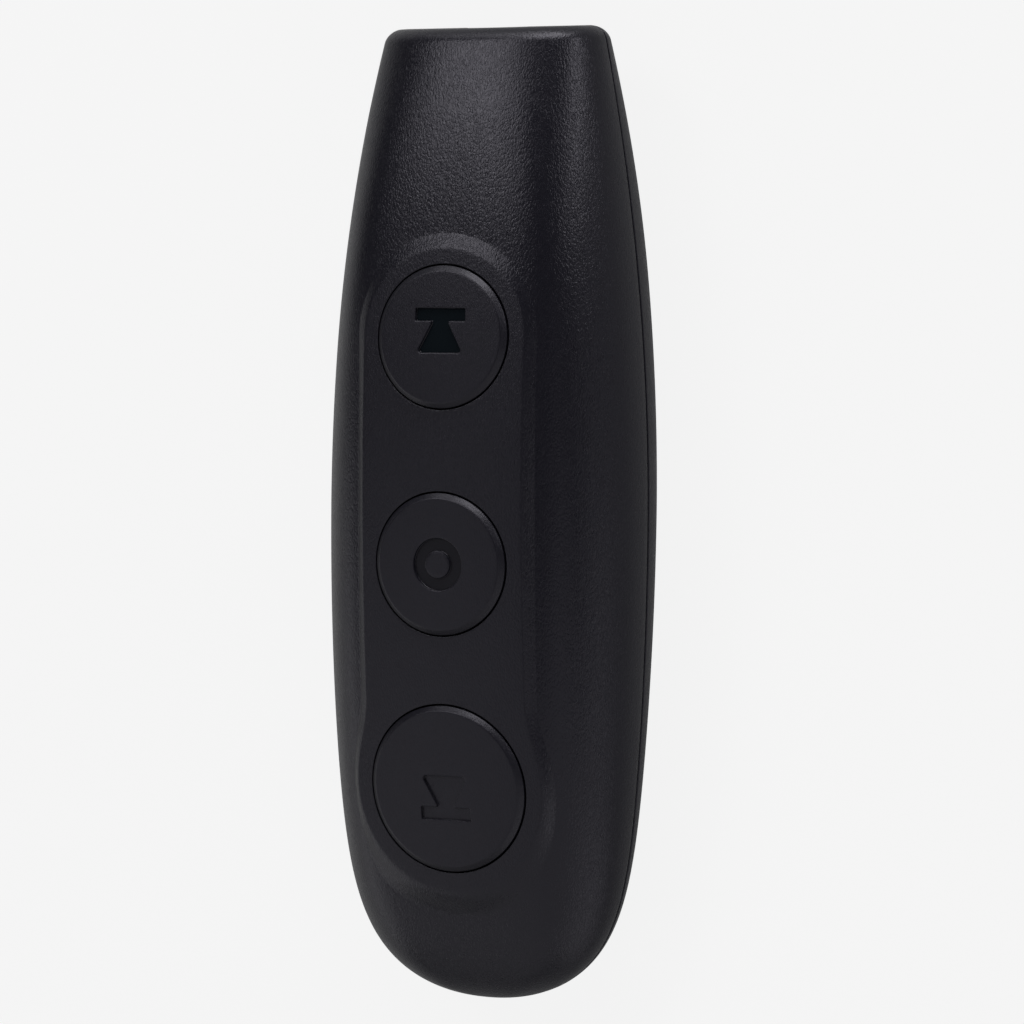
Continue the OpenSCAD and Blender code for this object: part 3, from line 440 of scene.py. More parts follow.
def grown(outline, distance):
    """An outline moved outwards along its own normals."""
    if not distance:
        return outline
    ahead, behind = np.roll(outline, -1, 0) - outline, outline - np.roll(outline, 1, 0)
    tangent = sum(step / np.linalg.norm(step, axis=1)[:, None] for step in (ahead, behind))
    tangent /= np.linalg.norm(tangent, axis=1)[:, None]
    turns_left = np.sum(outline[:, 0] * ahead[:, 1] - outline[:, 1] * ahead[:, 0]) > 0
    return outline + np.c_[tangent[:, 1], -tangent[:, 0]] * distance * (1 if turns_left else -1)


def prism(name, outline, levels):
    """Closed solid through copies of an outline. A level is (z, grow outwards)."""
    shape = Shape()
    rings = [(grown(np.asarray(outline, float), grow), z) for z, grow in levels]
    shape.tube([xyz(ring[:, 0], ring[:, 1], z) for ring, z in rings])
    return shape.build(name)


def rounded_outline(corners, radius, steps=6):
    """An outline, counterclockwise, with each corner rounded. A corner is x, y or x, y, its radius."""
    points = []
    for i, corner in enumerate(corners):
        p = np.array(corner[:2], float)
        r = corner[2] if len(corner) > 2 else radius
        a = np.array(corners[i - 1][:2], float) - p
        b = np.array(corners[(i + 1) % len(corners)][:2], float) - p
        a /= np.linalg.norm(a)
        b /= np.linalg.norm(b)
        half = acos(float(np.clip(a @ b, -1, 1))) / 2
        tangent_l = r / tan(half)
        centre = p + (a + b) / np.linalg.norm(a + b) * r / sin(half)
        start, end = p + a * tangent_l - centre, p + b * tangent_l - centre
        turn = atan2(start[0] * end[1] - start[1] * end[0], float(start @ end))
        for k in range(steps + 1):
            c, s = cos(turn * k / steps), sin(turn * k / steps)
            points.append(centre + np.array([start[0] * c - start[1] * s, start[0] * s + start[1] * c]))
    return np.array(points)


def circle(r, n=96):
    t = np.linspace(0, 2 * pi, n, endpoint=False)
    return np.c_[r * np.cos(t), r * np.sin(t)]


def lathe(name, rows, origin=(0, 0, 0), axis="z", n=96, ring=False):
    """Closed solid of revolution. A row is radius, distance along the axis, and a material's number.

    With ring set, the last row joins the first, as round a bore.
    """
    shape = Shape()
    flat = circle(1, n)
    first = last = None
    for r, h, *tag in rows:
        if r < 1e-6:
            ids = shape.add([[0, 0, h]]) * n
        else:
            ids = shape.add(xyz(r * flat[:, 0], r * flat[:, 1], h))
        if last is None:
            first = ids
        else:
            shape.band(last, ids, *tag)
        last = ids
    if ring:
        shape.band(last, first)
    order = {"x": [2, 0, 1], "y": [0, 2, 1], "z": [0, 1, 2]}[axis]
    shape.points = (np.array(shape.points)[:, order] + np.array(origin, float)).tolist()
    return shape.build(name)


def rod(name, r, low, high, origin=(0, 0, 0), axis="z", n=64):
    return lathe(name, ((0, low), (r, low), (r, high), (0, high)), origin, axis, n)


def block(name, low, high, edge=0.0):
    """A box between two corners, with its edges cut back a little where edge is set."""
    shape = Shape()
    ends = np.array((low, high), float)
    shape.add([[ends[i][0], ends[j][1], ends[k][2]] for i in (0, 1) for j in (0, 1) for k in (0, 1)])
    for ids in ((0, 1, 3, 2), (4, 6, 7, 5), (0, 4, 5, 1), (2, 3, 7, 6), (0, 2, 6, 4), (1, 5, 7, 3)):
        shape.face(ids)
    obj = shape.build(name)
    if edge:
        work = bmesh.new()
        work.from_mesh(obj.data)
        bmesh.ops.bevel(work, geom=work.edges[:], offset=edge * MM, segments=3, profile=0.5,
                        affect="EDGES", clamp_overlap=True)
        work.to_mesh(obj.data)
        work.free()
    return obj


def combine(obj, others, operation):
    """Cuts other solids out of obj, or adds them, and deletes them."""
    for other in others:
        modifier = obj.modifiers.new("combine", "BOOLEAN")
        modifier.operation = operation
        modifier.solver = "MANIFOLD"
        modifier.object = other
        bpy.context.view_layer.update()
        evaluated = obj.evaluated_get(bpy.context.evaluated_depsgraph_get())
        mesh = bpy.data.meshes.new_from_object(evaluated)
        obj.modifiers.clear()
        obj.data = mesh
        bpy.data.objects.remove(other)
    return obj


def cut(obj, *others):
    return combine(obj, others, "DIFFERENCE")


def join(obj, *others):
    return combine(obj, others, "UNION")


def cut_rods(obj, places, r, low, high, n=64):
    """Cuts an upright rod out of obj at each place."""
    return cut(obj, *[rod("rod", r, low, high, (x, y, 0), n=n) for x, y in places])


def finish_mesh(obj, angle=32):
    """Smooth shading with sharp edges kept where the surface really turns."""
    mesh = obj.data
    mesh.name = obj.name
    mesh.shade_smooth()
    mesh.set_sharp_from_angle(angle=radians(angle))
    return obj


# Inside of the shells
def cavity():
    """The room inside both shells, as a cutting solid."""
    tip_y = TAIL_Y + CAVITY_TIP_L
    ys = np.r_[np.linspace(END_Y, tip_y, 60), TAIL_Y + CAVITY_TIP_L * np.linspace(1, 0, 26)[1:-1] ** 2]
    c, s = circle(1, 120).T
    power = 2 / FULLNESS
    shape = Shape()
    rows = []
    for y in ys:
        inset = float(rim_inset(y))
        x = (float(half_width(y)) - inset) * CAVITY_FX * np.sign(c) * np.abs(c) ** power
        front = (float(front_height(y)) - inset) * CAVITY_FF
        rear = (float(rear_depth(y)) - inset) * CAVITY_FR
        z = np.where(s > 0, front * crown(np.abs(c) ** power, y), -rear * np.abs(s) ** power)
        z = np.maximum(z, -CAVITY_FLOOR)
        lean = END_SLANT * min(1, max(0, (y - END_Y + SLANT_RUN) / SLANT_RUN))
        rows.append(np.c_[x, y * CAVITY_FY - lean * np.maximum(0, z), z])
    first = shape.rows(rows[:1])
    last = shape.rows(rows[1:], first)
    shape.face(first[::-1])
    shape.band(last, shape.add([[0, TAIL_Y * CAVITY_FY, 0]]) * len(last))
    return shape.build("room")


def cradle(side):
    """Two ribs with a round seat for the laser's barrel."""
    low, high = sorted((side * SPLIT_GAP, side * CRADLE_H))
    ribs = []
    for y in CRADLE_YS:
        rib = block("rib", (-CRADLE_X, y, low), (CRADLE_X, y + CRADLE_T, high))
        ribs.append(cut(rib, rod("seat", BARREL_SEAT_R, y - 1, y + CRADLE_T + 1, axis="y")))
    return ribs


def laser_bore():
    return [rod("bore", BEZEL_R + BEZEL_GAP, END_INNER_Y - 3, END_Y + 3, axis="y", n=128),
            rod("pocket", BEZEL_FLANGE_R + BEZEL_GAP, END_INNER_Y - WALL, END_INNER_Y, axis="y", n=96)]


# Front shell
def border_loops(spokes):
    """Loops over the border, from the panel's edge to just past its foot, and the foot's elevations."""
    shares = (-.25, -.14, -.07, -.02, .03, .08, .15, .26, .4, .55,
              .7, .82, .9, .95, .98, 1.01, 1.05, 1.1, 1.18, 1.3)
    loops = []
    for share in shares:
        def on_border(r):
            x, y = spokes.at(r)
            return panel_distance(x, y) < share * border_at(y)
        x, y = spokes.at(reach(on_border, spokes.half, high=20))
        loops.append(mirrored(np.c_[x, y, front_z(x, y)]))
    return loops, np.arctan2(front_body(x, y), np.hypot(x, y - spokes.base))


def panel_cells(shape, spokes, edge_ids):
    """The panel: a cell round each button hole, joined along two dividers."""
    cuts = [spokes.fan_count + spokes.side_steps * k // 4 for k in (1, 3)]
    back_1, back_2 = (spokes.count - k for k in cuts)
    points = np.array(shape.points)
    dividers = []
    for k in cuts:
        width, y = points[edge_ids[k]][:2]
        x = np.linspace(width, -width, 2 * int(round(width / 0.5)) + 1)[1:-1]
        dividers.append(shape.add(xyz(x, y, front_z(x, np.full(len(x), y)))))
    outlines = (
        edge_ids[:cuts[0] + 1] + dividers[0] + edge_ids[back_1:],
        edge_ids[cuts[0]:cuts[1] + 1] + dividers[1] + edge_ids[back_2:back_1 + 1] + dividers[0][::-1],
        edge_ids[cuts[1]:back_2 + 1] + dividers[1][::-1])
    for ids, cy, cap_r in zip(outlines, BUTTON_YS, CAP_RS):
        outer = np.array(shape.points)[ids]
        away = np.hypot(outer[:, 0], outer[:, 1] - cy)
        ux, uy = outer[:, 0] / away, (outer[:, 1] - cy) / away
        hole = cap_r + CAP_GAP
        for share in (.82, .64, .48, .34, .22, .12, .05, 0):
            r = hole + HOLE_ROUND + (away - hole - HOLE_ROUND) * share
            x, y = ux * r, cy + uy * r
            top = front_z(x, y)
            ids = shape.rows([np.c_[x, y, top]], ids)
        for out, drop in quarter(4)[1:]:
            r = hole + HOLE_ROUND * out
            ids = shape.rows([np.c_[ux * r, cy + uy * r, top - HOLE_ROUND * drop]], ids)
        for z in (8, 6):
            ids = shape.rows([xyz(ux * hole, cy + uy * hole, z)], ids)
        shape.face(ids)


def front_room():
    """Room inside the front shell, less the seats, bosses, posts and ribs that stand in it."""
    room = cavity()
    for r, z, y in zip(SEAT_RS, SEAT_ZS, BUTTON_YS):
        cut(room, rod("seat", r, z, OVER, (0, y, 0), n=96))
    cut_rods(room, BOARD_SCREWS, BOSS_R, BOARD_TOP, OVER)
    cut_rods(room, SHELL_SCREWS, POST_R, SPLIT_GAP, OVER)
    return cut(room, *cradle(1))


def front_shell():
    outline = plan_reach(lambda x, y: panel_distance(x, y) < 0, high=20)
    spokes = Spokes(BUTTON_YS[0], BUTTON_YS[2], 96, (seam_reach(1), outline), (0.8, 0.5))
    shape = Shape()
    loops, elevation = border_loops(spokes)
    edge_ids = shape.rows(loops[:1])
    ids = shape.rows(loops[1:], edge_ids)
    loops = spokes.skirt(1, elevation, 52, 0, FRONT_LIP)[1]
    shape.face(shape.rows(loops, ids))
    panel_cells(shape, spokes, edge_ids)
    obj = cut(shape.build("front_shell_skin"), front_room())
    cut_rods(obj, BOARD_SCREWS, BOARD_PILOT_R, 0, BOARD_PILOT_TOP, 32)
    cut_rods(obj, SHELL_SCREWS, SHELL_PILOT_R, -1, SHELL_PILOT_TOP, 32)
    return finish_mesh(cut(obj, *laser_bore(), slider_slot()))


def slider_slot():
    """Cutter of the slider's slot, flared a little where it meets the skin."""
    half_l, half_h = KNOB_L / 2 + SLIDER_TRAVEL / 2 + SLIDER_GAP, KNOB_H / 2 + SLIDER_GAP
    corners = [(-half_l, -half_h), (half_l, -half_h), (half_l, half_h), (-half_l, half_h)]
    outline = rounded_outline(corners, 0.3)
    shape = Shape()
    rows = []
    for depth, grow in ((None, 0), (SLOT_FLARE, 0), (0, SLOT_FLARE), (-1, 1)):
        ring = grown(outline, grow)
        y, z = SLIDER_Y + ring[:, 0], POWER_Z + ring[:, 1]
        x = SLOT_X + 0.8 if depth is None else depth - side_x(y, z)
        rows.append(xyz(x, y, z))
    shape.tube(rows)
    return shape.build("slot")


# Rear shell and battery cover
def hatch_reach(base, angle, grow=0.0):
    """Length of a ray in plan out to the hatch's outline, grown by a distance."""
    middle = (HATCH_END_Y + HATCH_TAIL_Y) / 2
    half = (HATCH_END_Y - HATCH_TAIL_Y) / 2 - HATCH_CORNER

    def inside(x, y):
        dx = np.abs(x) - (HATCH_X - HATCH_CORNER)
        dy = np.abs(y - middle) - half
        out = np.hypot(np.maximum(dx, 0), np.maximum(dy, 0)) + np.minimum(np.maximum(dx, dy), 0)
        return out < HATCH_CORNER + grow
    return plan_reach(inside, high=30)(base, angle)


def rear_spokes():
    return Spokes(FAN_FRONT_Y, FAN_TAIL_Y, 106, (seam_reach(-1), hatch_reach), (0.8, 0.4))


def rear_skin(spokes, wall_r):
    """The rear shell before its room is cut: wall of the hatch opening, its edge, and the skin."""
    shape = Shape()
    skin_r = hatch_reach(spokes.base, spokes.angle, HATCH_EDGE)
    skin = rear_body(*spokes.at(skin_r))
    ids = shape.rows([spokes.loop(wall_r, WELL_Z)])
    shape.face(ids)
    ids = shape.rows([spokes.loop(wall_r + (skin_r - wall_r) * out, HATCH_EDGE * rise - skin)
                      for out, rise in quarter(4)[::-1]], ids)
    seam_row, loops = spokes.skirt(-1, np.arctan2(skin, skin_r), 60, SEAM_GAP, REAR_LIP)
    tongue = WALL / 3
    x, y = seam_row[:, 0] * (BODY_R - tongue) / BODY_R, seam_row[:, 1] * (END_Y - tongue) / END_Y
    shape.face(shape.rows(loops + [mirrored(xyz(x, y, z)) for z in (-SEAM_GAP, 0)], ids))
    return shape.build("rear_shell_skin")


def bay_room(spokes, wall_r):
    """Room inside the bay, less the ribs, rails and partition that stand in it."""
    bay = prism("bay", spokes.loop(wall_r - 0.02, 0)[:, :2], [(WELL_Z - 0.4, 0), (BAY_TOP, 0)])
    half = RIB_T / 2
    for side in (-1, 1):
        at = side * (CELL_R + RIB_GAP + half)
        cut(bay, block("rib", (at - half, PARTITION_Y, CELL_Z), (at + half, HATCH_END_Y + 1, 8), 0.2))
        at = side * RAIL_X
        cut(bay, block("rail", (at - half, HATCH_TAIL_Y - 1, RAIL_Z), (at + half, PARTITION_Y, 8), 0.15))
    return cut(bay, block("partition", (-HATCH_X - 1, PARTITION_Y - BAY_WALL, 1 - CAVITY_FLOOR),
                          (HATCH_X + 1, PARTITION_Y, 9), 0.2))


def rear_room(x, low_y, high_y):
    """Room inside the rear shell, less the bay's block, the posts and the ribs that stand in it."""
    room = cut(cavity(), block("bay", (-x, low_y, UNDER), (x, high_y, OVER + 1)))
    return cut(cut_rods(room, SHELL_SCREWS, POST_R, UNDER, -SPLIT_GAP), *cradle(-1))


def rear_shell():
    spokes = rear_spokes()
    wall_r = hatch_reach(spokes.base, spokes.angle)
    x, low_y, high_y = HATCH_X + BAY_WALL, HATCH_TAIL_Y - BAY_WALL, HATCH_END_Y + BAY_WALL
    obj = cut(rear_skin(spokes, wall_r), rear_room(x, low_y, high_y))
    join(obj, block("roof", (-x, low_y, -1.0), (x, high_y, BAY_TOP + BAY_WALL)))
    cut(obj, bay_room(spokes, wall_r))
    join(obj, block("partition_foot", (-HATCH_X - 0.1, PARTITION_Y - BAY_WALL, 1 - CAVITY_FLOOR),
                    (HATCH_X + 0.1, PARTITION_Y, WELL_Z + 0.3), 0.1))
    for at in (-HOOK_X, HOOK_X):
        cut(obj, block("slot", (at - HOOK_SLOT_R, HATCH_END_Y - BAY_WALL, -8.1),
                       (at + HOOK_SLOT_R, high_y + 1, -6.3)))

    # Fingernail scoop: a round trough that fades at both ends
    trough = [(SCOOP_R * sqrt(1 - abs(u) ** 5), SCOOP_X * u) for u in np.linspace(-1, 1, 49)]
    depth = float(rear_body(0.0, HATCH_TAIL_Y))
    cut(obj, lathe("scoop", trough, (0, HATCH_TAIL_Y, -depth - SCOOP_OUT), axis="x", n=160))
    for px, py in SHELL_SCREWS:
        mouth = float(rear_body(px, py))
        rows = ((0, -20), (COUNTERBORE_R + 1.2, -mouth - 1), (COUNTERBORE_R, -mouth + 0.2),
                (COUNTERBORE_R, SHELL_HEAD_Z), (0, SHELL_HEAD_Z))
        cut(obj, lathe("counterbore", rows, (px, py, 0), n=64))
    cut_rods(obj, SHELL_SCREWS, SHELL_HOLE_R, UNDER, 3, 32)
    return finish_mesh(cut(obj, *laser_bore()))


def battery_cover():
    spokes = rear_spokes()
    shape = Shape()
    full = hatch_reach(spokes.base, spokes.angle, -HATCH_GAP)

    def inner_depth(x, y):
        scaled = section(x / CAVITY_FX, half_width(y / CAVITY_FY), rear_depth(y / CAVITY_FY)) * CAVITY_FR
        return smooth_min(scaled, CAVITY_FLOOR, 0.4)

    def sheet(depth):
        """Loops from the middle line out to where the edge starts to round."""
        lengths = [flat_r * share for share in (0, .12, .25, .4, .55, .7, .82, .92, 1)]
        return shape.rows([spokes.loop(r, -depth(*spokes.at(r))) for r in lengths])

    flat_r = full - HATCH_EDGE
    skin = rear_body(*spokes.at(flat_r))
    outer = shape.rows([spokes.loop(full - HATCH_EDGE * inset, HATCH_EDGE * rise - skin)
                        for inset, rise in quarter(4)[1:]], sheet(rear_body))
    rim = spokes.loop(full, -inner_depth(*spokes.at(flat_r)))
    shape.band(outer, shape.rows([rim], sheet(inner_depth)))
    obj = shape.build("battery_cover_skin")
    for at in (-HOOK_X, HOOK_X):
        tail_y, root_r = HATCH_END_Y - HOOK_L, HOOK_R - 0.02
        hook = block("hook", (at - HOOK_R, tail_y, -8), (at + HOOK_R, HATCH_END_Y + 1, -7), 0.12)
        root = block("root", (at - root_r, tail_y + 0.02, -9), (at + root_r, HATCH_END_Y - 0.42, -7.02), 0.1)
        join(obj, join(hook, root))
    return finish_mesh(obj)


# Buttons
def eased_corner(corner, slope_in, slope_out, radius, steps):
    """Points of an arc that replaces a corner of a profile. Slopes are angles below level."""
    reach_in = radius * tan((slope_out - slope_in) / 2)
    q = corner[0] - reach_in * cos(slope_in)
    drop = corner[1] - reach_in * sin(slope_in)
    points = []
    for k in range(steps + 1):
        a = slope_in + (slope_out - slope_in) * k / steps
        points.append((q + radius * (sin(a) - sin(slope_in)),
                       drop + radius * (cos(slope_in) - cos(a))))
    return points


def button(index, name, icon):
    """A cap that stands above the panel, with a bevelled rim, a flange below and a stem inside."""
    r, flange_r, cy = CAP_RS[index], FLANGE_RS[index], BUTTON_YS[index]
    flange_top = SEAT_ZS[index] - FLANGE_GAP
    flange_z = flange_top - FLANGE_T
    cos_t, sin_t = circle(1, 192).T
    bevel = atan2(BEVEL_H, BEVEL_W)
    upper = eased_corner((r - BEVEL_W, 0), 0, bevel, BEVEL_TOP_R, 6)
    lower = eased_corner((r, BEVEL_H), bevel, pi / 2, BEVEL_FOOT_R, 4)

    # A row is its radius and either its drop below the panel's face or its own height
    rows = [(q, -CAP_RISE, None) for q in np.arange(0.5, upper[0][0] - 0.1, 0.5)]
    rows += [(q, drop - CAP_RISE, None) for q, drop in upper + lower]
    rows += [(r, None, flange_top + 0.1), (r + 0.1, None, flange_top),
             (flange_r - FLANGE_EDGE, None, flange_top), (flange_r, None, flange_top - FLANGE_EDGE),
             (flange_r, None, flange_z + FLANGE_EDGE), (flange_r - FLANGE_EDGE, None, flange_z),
             (r - CAP_SKIRT, None, flange_z), (r - CAP_SKIRT, CAP_SKIN, None), (STEM_R, CAP_SKIN, None),
             (STEM_R, None, PLUNGER_TOP + STEM_EDGE), (STEM_R - STEM_EDGE, None, PLUNGER_TOP)]
    shape = Shape()
    ids = shape.add([[0, cy, float(panel_z(0.0, cy)) + CAP_RISE]]) * len(cos_t)
    for q, drop, z in rows:
        x, y = q * cos_t, cy + q * sin_t
        ids = shape.rows([xyz(x, y, panel_z(x, y) - drop if z is None else z)], ids)
    shape.band(ids, shape.add([[0, cy, PLUNGER_TOP]]) * len(cos_t))
    return finish_mesh(cut(shape.build(name), icon_cutter(icon, cy)), 26)


def icon_cutter(loops, cy):
    """Solid that sinks an outline, less a hole if there is one, into the cap's face with soft edges."""
    shape = Shape()
    soft = ICON_EDGE
    levels = [(ICON_DEPTH, -0.05), (ICON_DEPTH - 0.05, 0), (soft, 0), (soft * 0.3, soft * 0.3), (0, soft),
              (-0.5, soft + 0.4)]
    ends = []
    for sign, loop in zip((1, -1), loops):
        rows = []
        for depth, grow in levels:
            ring = grown(loop, grow * sign)
            x, y = ring[:, 0], cy + ring[:, 1]
            rows.append(np.c_[x, y, panel_z(x, y) + CAP_RISE - depth])
        floor_ids = shape.rows(rows[:1])
        ends.append((floor_ids, shape.rows(rows[1:], floor_ids)))
    if len(loops) == 1:
        shape.face(ends[0][0][::-1])
        shape.face(ends[0][1])
    else:
        shape.band(ends[0][0], ends[1][0])
        shape.band(ends[0][1], ends[1][1])
    return shape.build("icon")


PREVIOUS_ICON = [rounded_outline([
    (-2.9, 1.66), (-1.0, 1.66, 0.08), (-1.0, 1.4, 0.1), (-2.69, -1.7, 0.35), (2.69, -1.7, 0.35),
    (1.0, 1.4, 0.1), (1.0, 1.66, 0.08), (2.9, 1.66), (2.9, 3.04), (-2.9, 3.04)], 0.15)]
POINTER_ICON = [circle(2.8), circle(1.45)]
NEXT_ICON = [PREVIOUS_ICON[0] * np.array([1, -1]) - np.array([0, 0.28])]


# Small pieces
def end_ring():
    seat, front_y = END_INNER_Y - BEZEL_GAP, END_Y - BEZEL_INSET
    back_y = END_INNER_Y - BEZEL_FLANGE_L - BEZEL_GAP
    shoulder_y = back_y + BEZEL_FLANGE_L
    rows = [(BEZEL_BORE_R, back_y), (BEZEL_FLANGE_R, back_y),
            (BEZEL_FLANGE_R, shoulder_y), (BEZEL_R, shoulder_y)]
    rows += [(BEZEL_R - BEZEL_EDGE * inset, front_y - BEZEL_EDGE * drop) for drop, inset in quarter(4)]
    rows += [(WINDOW_SEAT_R + 0.15, front_y), (WINDOW_SEAT_R + 0.05, front_y - 0.06),
             (WINDOW_SEAT_R, front_y - 0.2), (WINDOW_SEAT_R, seat), (BEZEL_BORE_R, seat)]
    return finish_mesh(lathe("end_ring", rows, axis="y", n=128, ring=True))


def end_window():
    """A window with a domed face."""
    y = END_INNER_Y - BEZEL_GAP
    dome = 0.18
    rim_y = y + WINDOW_T - dome
    rows = [(0, y), (WINDOW_R - 0.05, y), (WINDOW_R, y + 0.05), (WINDOW_R, rim_y)]
    rows += [(WINDOW_R * cos(a), rim_y + dome * sin(a))
             for a in np.linspace(0.1, pi / 2, 12)[:-1]]
    rows.append((0, y + WINDOW_T))
    return finish_mesh(lathe("end_window", rows, axis="y", n=96), 40)


def power_knob():
    """Slider with a ribbed face that follows the body's side, and a keeper inside the slot."""
    off_y = SLIDER_Y - SLIDER_TRAVEL / 2
    tail_y = off_y - KNOB_L / 2
    low_z, high_z = POWER_Z - KNOB_H / 2, POWER_Z + KNOB_H / 2
    outer_x = KNOB_INSET - float(side_x(off_y, high_z))
    keeper_x = SLOT_X + KEEPER_GAP
    middle_x = keeper_x + KEEPER_T / 2
    obj = block("slider_knob", (outer_x, tail_y, low_z), (middle_x, off_y + KNOB_L / 2, high_z), 0.16)
    for i in range(1, KNOB_RIBS):
        y = tail_y + KNOB_L * i / KNOB_RIBS
        cut(obj, rod("groove", KNOB_GROOVE_R, low_z - 1, high_z + 1, (outer_x - 0.02, y, 0), n=20))
    keeper_l = KNOB_L + 0.4 + 2 * SLIDER_TRAVEL + 1
    keeper_y = SLIDER_Y - keeper_l / 2 + SLIDER_TRAVEL / 2 - 1
    keeper_end = (keeper_x + KEEPER_T, keeper_y + keeper_l - SLIDER_TRAVEL, POWER_Z + KEEPER_H / 2)
    nub_y, nub_z = 0.6, 0.3
    join(obj, block("keeper", (keeper_x, keeper_y, POWER_Z - KEEPER_H / 2), keeper_end, 0.1),
         block("nub", (middle_x, off_y - nub_y, POWER_Z - nub_z),
               (POWER_X - 0.4, off_y + nub_y, POWER_Z + nub_z), 0.08))
    return finish_mesh(obj)


def spring():
    """A conical wire spring between the negative plate and the cell."""
    steps = 44 * SPRING_TURNS
    wire_r = SPRING_WIRE_R
    length = SPRING_L - 2 * wire_r - 2 * TOUCH_GAP
    start_y = PARTITION_Y + CONTACT_GAP + CONTACT_T + wire_r + TOUCH_GAP
    cos_b, sin_b = circle(wire_r, 14).T
    rows = []
    for j in range(steps + 1):
        t = j / steps
        a = 2 * pi * SPRING_TURNS * t
        w = SPRING_BIG_R + (SPRING_SMALL_R - SPRING_BIG_R) * t + cos_b
        rows.append(np.c_[w * cos(a), start_y + length * t + sin_b, CELL_Z - w * sin(a)])
    shape = Shape()
    shape.tube(rows)
    return finish_mesh(shape.build("spring_wire"), 60)


def cell():
    """The cell: a wrapped can with rolled ends, and a nub. A row ends with its material: wrap, metal, end."""
    wrap, metal_face, wrap_end = 0, 1, 2
    can_l, roll = CELL_L - 1, 0.6
    roll_r = CELL_R - roll
    arc = np.linspace(0, pi / 2, 6)
    rows = [(0, 0.05, wrap), (3.6, 0.05, metal_face), (3.9, 0.0, metal_face), (4.5, 0.0, metal_face)]
    rows += [(roll_r + roll * sin(a), roll * (1 - cos(a)), wrap) for a in arc]
    rows += [(CELL_R, 0.9, wrap), (CELL_R, can_l - 12, wrap), (CELL_R, can_l - 11.98, wrap_end),
             (CELL_R, can_l - 0.7, wrap_end)]
    rows += [(roll_r + roll * cos(a), can_l - 0.7 + roll * sin(a), wrap_end) for a in arc[1:]]
    rows.append((4.3, can_l - 0.12, wrap_end))
    rows += [(r, h, metal_face) for r, h in (
        (4.1, can_l - 0.3), (2.6, can_l - 0.3), (2.2, can_l - 0.1), (1.9, can_l + 0.1),
        (1.9, CELL_L - 0.2), (1.7, CELL_L), (0, CELL_L))]
    return finish_mesh(lathe("cell_can", rows, (0, CELL_BACK_Y, CELL_Z), axis="y", n=128), 40)


# Materials
def arithmetic(tree, operation, a, b):
    """The output of a Math node whose inputs are numbers or other outputs."""
    node = tree.nodes.new("ShaderNodeMath")
    node.operation = operation
    for socket, value in zip(node.inputs, (a, b)):
        if isinstance(value, (int, float)):
            socket.default_value = value
        else:
            tree.links.new(value, socket)
    return node.outputs[0]


class Finish:
    """A procedural material: a Principled shader and the nodes that drive it."""

    def __init__(self, name, **sockets):
        self.material = bpy.data.materials.new(name)
        self.material.use_nodes = True
        self.tree = self.material.node_tree
        self.tree.nodes.clear()
        self.link = self.tree.links.new
        self.shader = self.node("ShaderNodeBsdfPrincipled")
        self.output = self.node("ShaderNodeOutputMaterial")
        self.link(self.shader.outputs["BSDF"], self.output.inputs["Surface"])
        self.place = self.node("ShaderNodeTexCoord").outputs["Object"]
        for key, value in sockets.items():
            value = (*value, 1) if isinstance(value, tuple) else value
            self.shader.inputs[key.replace("_", " ")].default_value = value

    def node(self, kind, inputs=None, **settings):
        node = self.tree.nodes.new(kind)
        for key, value in settings.items():
            setattr(node, key, value)
        for key, value in (inputs or {}).items():
            node.inputs[key].default_value = value
        return node

    def stretched(self, scale):
        """The place on the object with each of its axes scaled."""
        node = self.node("ShaderNodeMapping", {"Scale": scale})
        self.link(self.place, node.inputs["Vector"])
        return node.outputs["Vector"]

    def noise(self, size, detail=2.0, roughness=0.5, place=None, output="Fac"):
        """Noise whose features are about size mm across."""
        node = self.node("ShaderNodeTexNoise",
                         {"Scale": 1 / (size * MM), "Detail": detail, "Roughness": roughness})
        self.link(place or self.place, node.inputs["Vector"])
        return node.outputs[output]

    def cells(self, size, place=None):
        """Distance to the edge of cells about size mm across."""
        node = self.node("ShaderNodeTexVoronoi", {"Scale": 1 / (size * MM)}, feature="DISTANCE_TO_EDGE")
        self.link(place or self.place, node.inputs["Vector"])
        return node.outputs["Distance"]

    def spread(self, value, low, high, start=0.0, end=1.0, **settings):
        """Maps a value from start..end to low..high."""
        node = self.node("ShaderNodeMapRange", {"From Min": start, "From Max": end,
                                                "To Min": low, "To Max": high}, **settings)
        self.link(value, node.inputs["Value"])
        return node.outputs["Result"]

    def mix(self, factor, a, b):
        """A colour between two colours."""
        node = self.node("ShaderNodeMix", data_type="RGBA")
        self.link(factor, node.inputs[0])
        for socket, colour in ((node.inputs[6], a), (node.inputs[7], b)):
            socket.default_value = (*colour, 1)
        return node.outputs[2]

    def vector(self, operation, a, b):
        """The output of a Vector Math node, b being an output, or a tuple of numbers."""
        node = self.node("ShaderNodeVectorMath", operation=operation)
        self.link(a, node.inputs[0])
        if isinstance(b, tuple):
            node.inputs[1].default_value = b
        else:
            self.link(b, node.inputs[1])
        return node.outputs[0]

    def wobbled(self, size, amount):
        """The place on the object, shifted by up to amount mm by noise of a size."""
        centred = self.vector("SUBTRACT", self.noise(size, 1.0, output="Color"), (0.5, 0.5, 0.5))
        scaled = self.node("ShaderNodeVectorMath", {"Scale": 2 * amount * MM}, operation="SCALE")
        self.link(centred, scaled.inputs[0])
        return self.vector("ADD", self.place, scaled.outputs[0])

    def painted(self, colour, roughness, height, depth):
        """The material, with its colour, roughness and a bump of depth mm for a height of 0 to 1."""
        bump = self.node("ShaderNodeBump", {"Distance": depth * MM, "Strength": 1.0})
        self.link(height, bump.inputs["Height"])
        for socket, value in (("Normal", bump.outputs["Normal"]), ("Base Color", colour),
                              ("Roughness", roughness)):
            self.link(value, self.shader.inputs[socket])
        return self.material


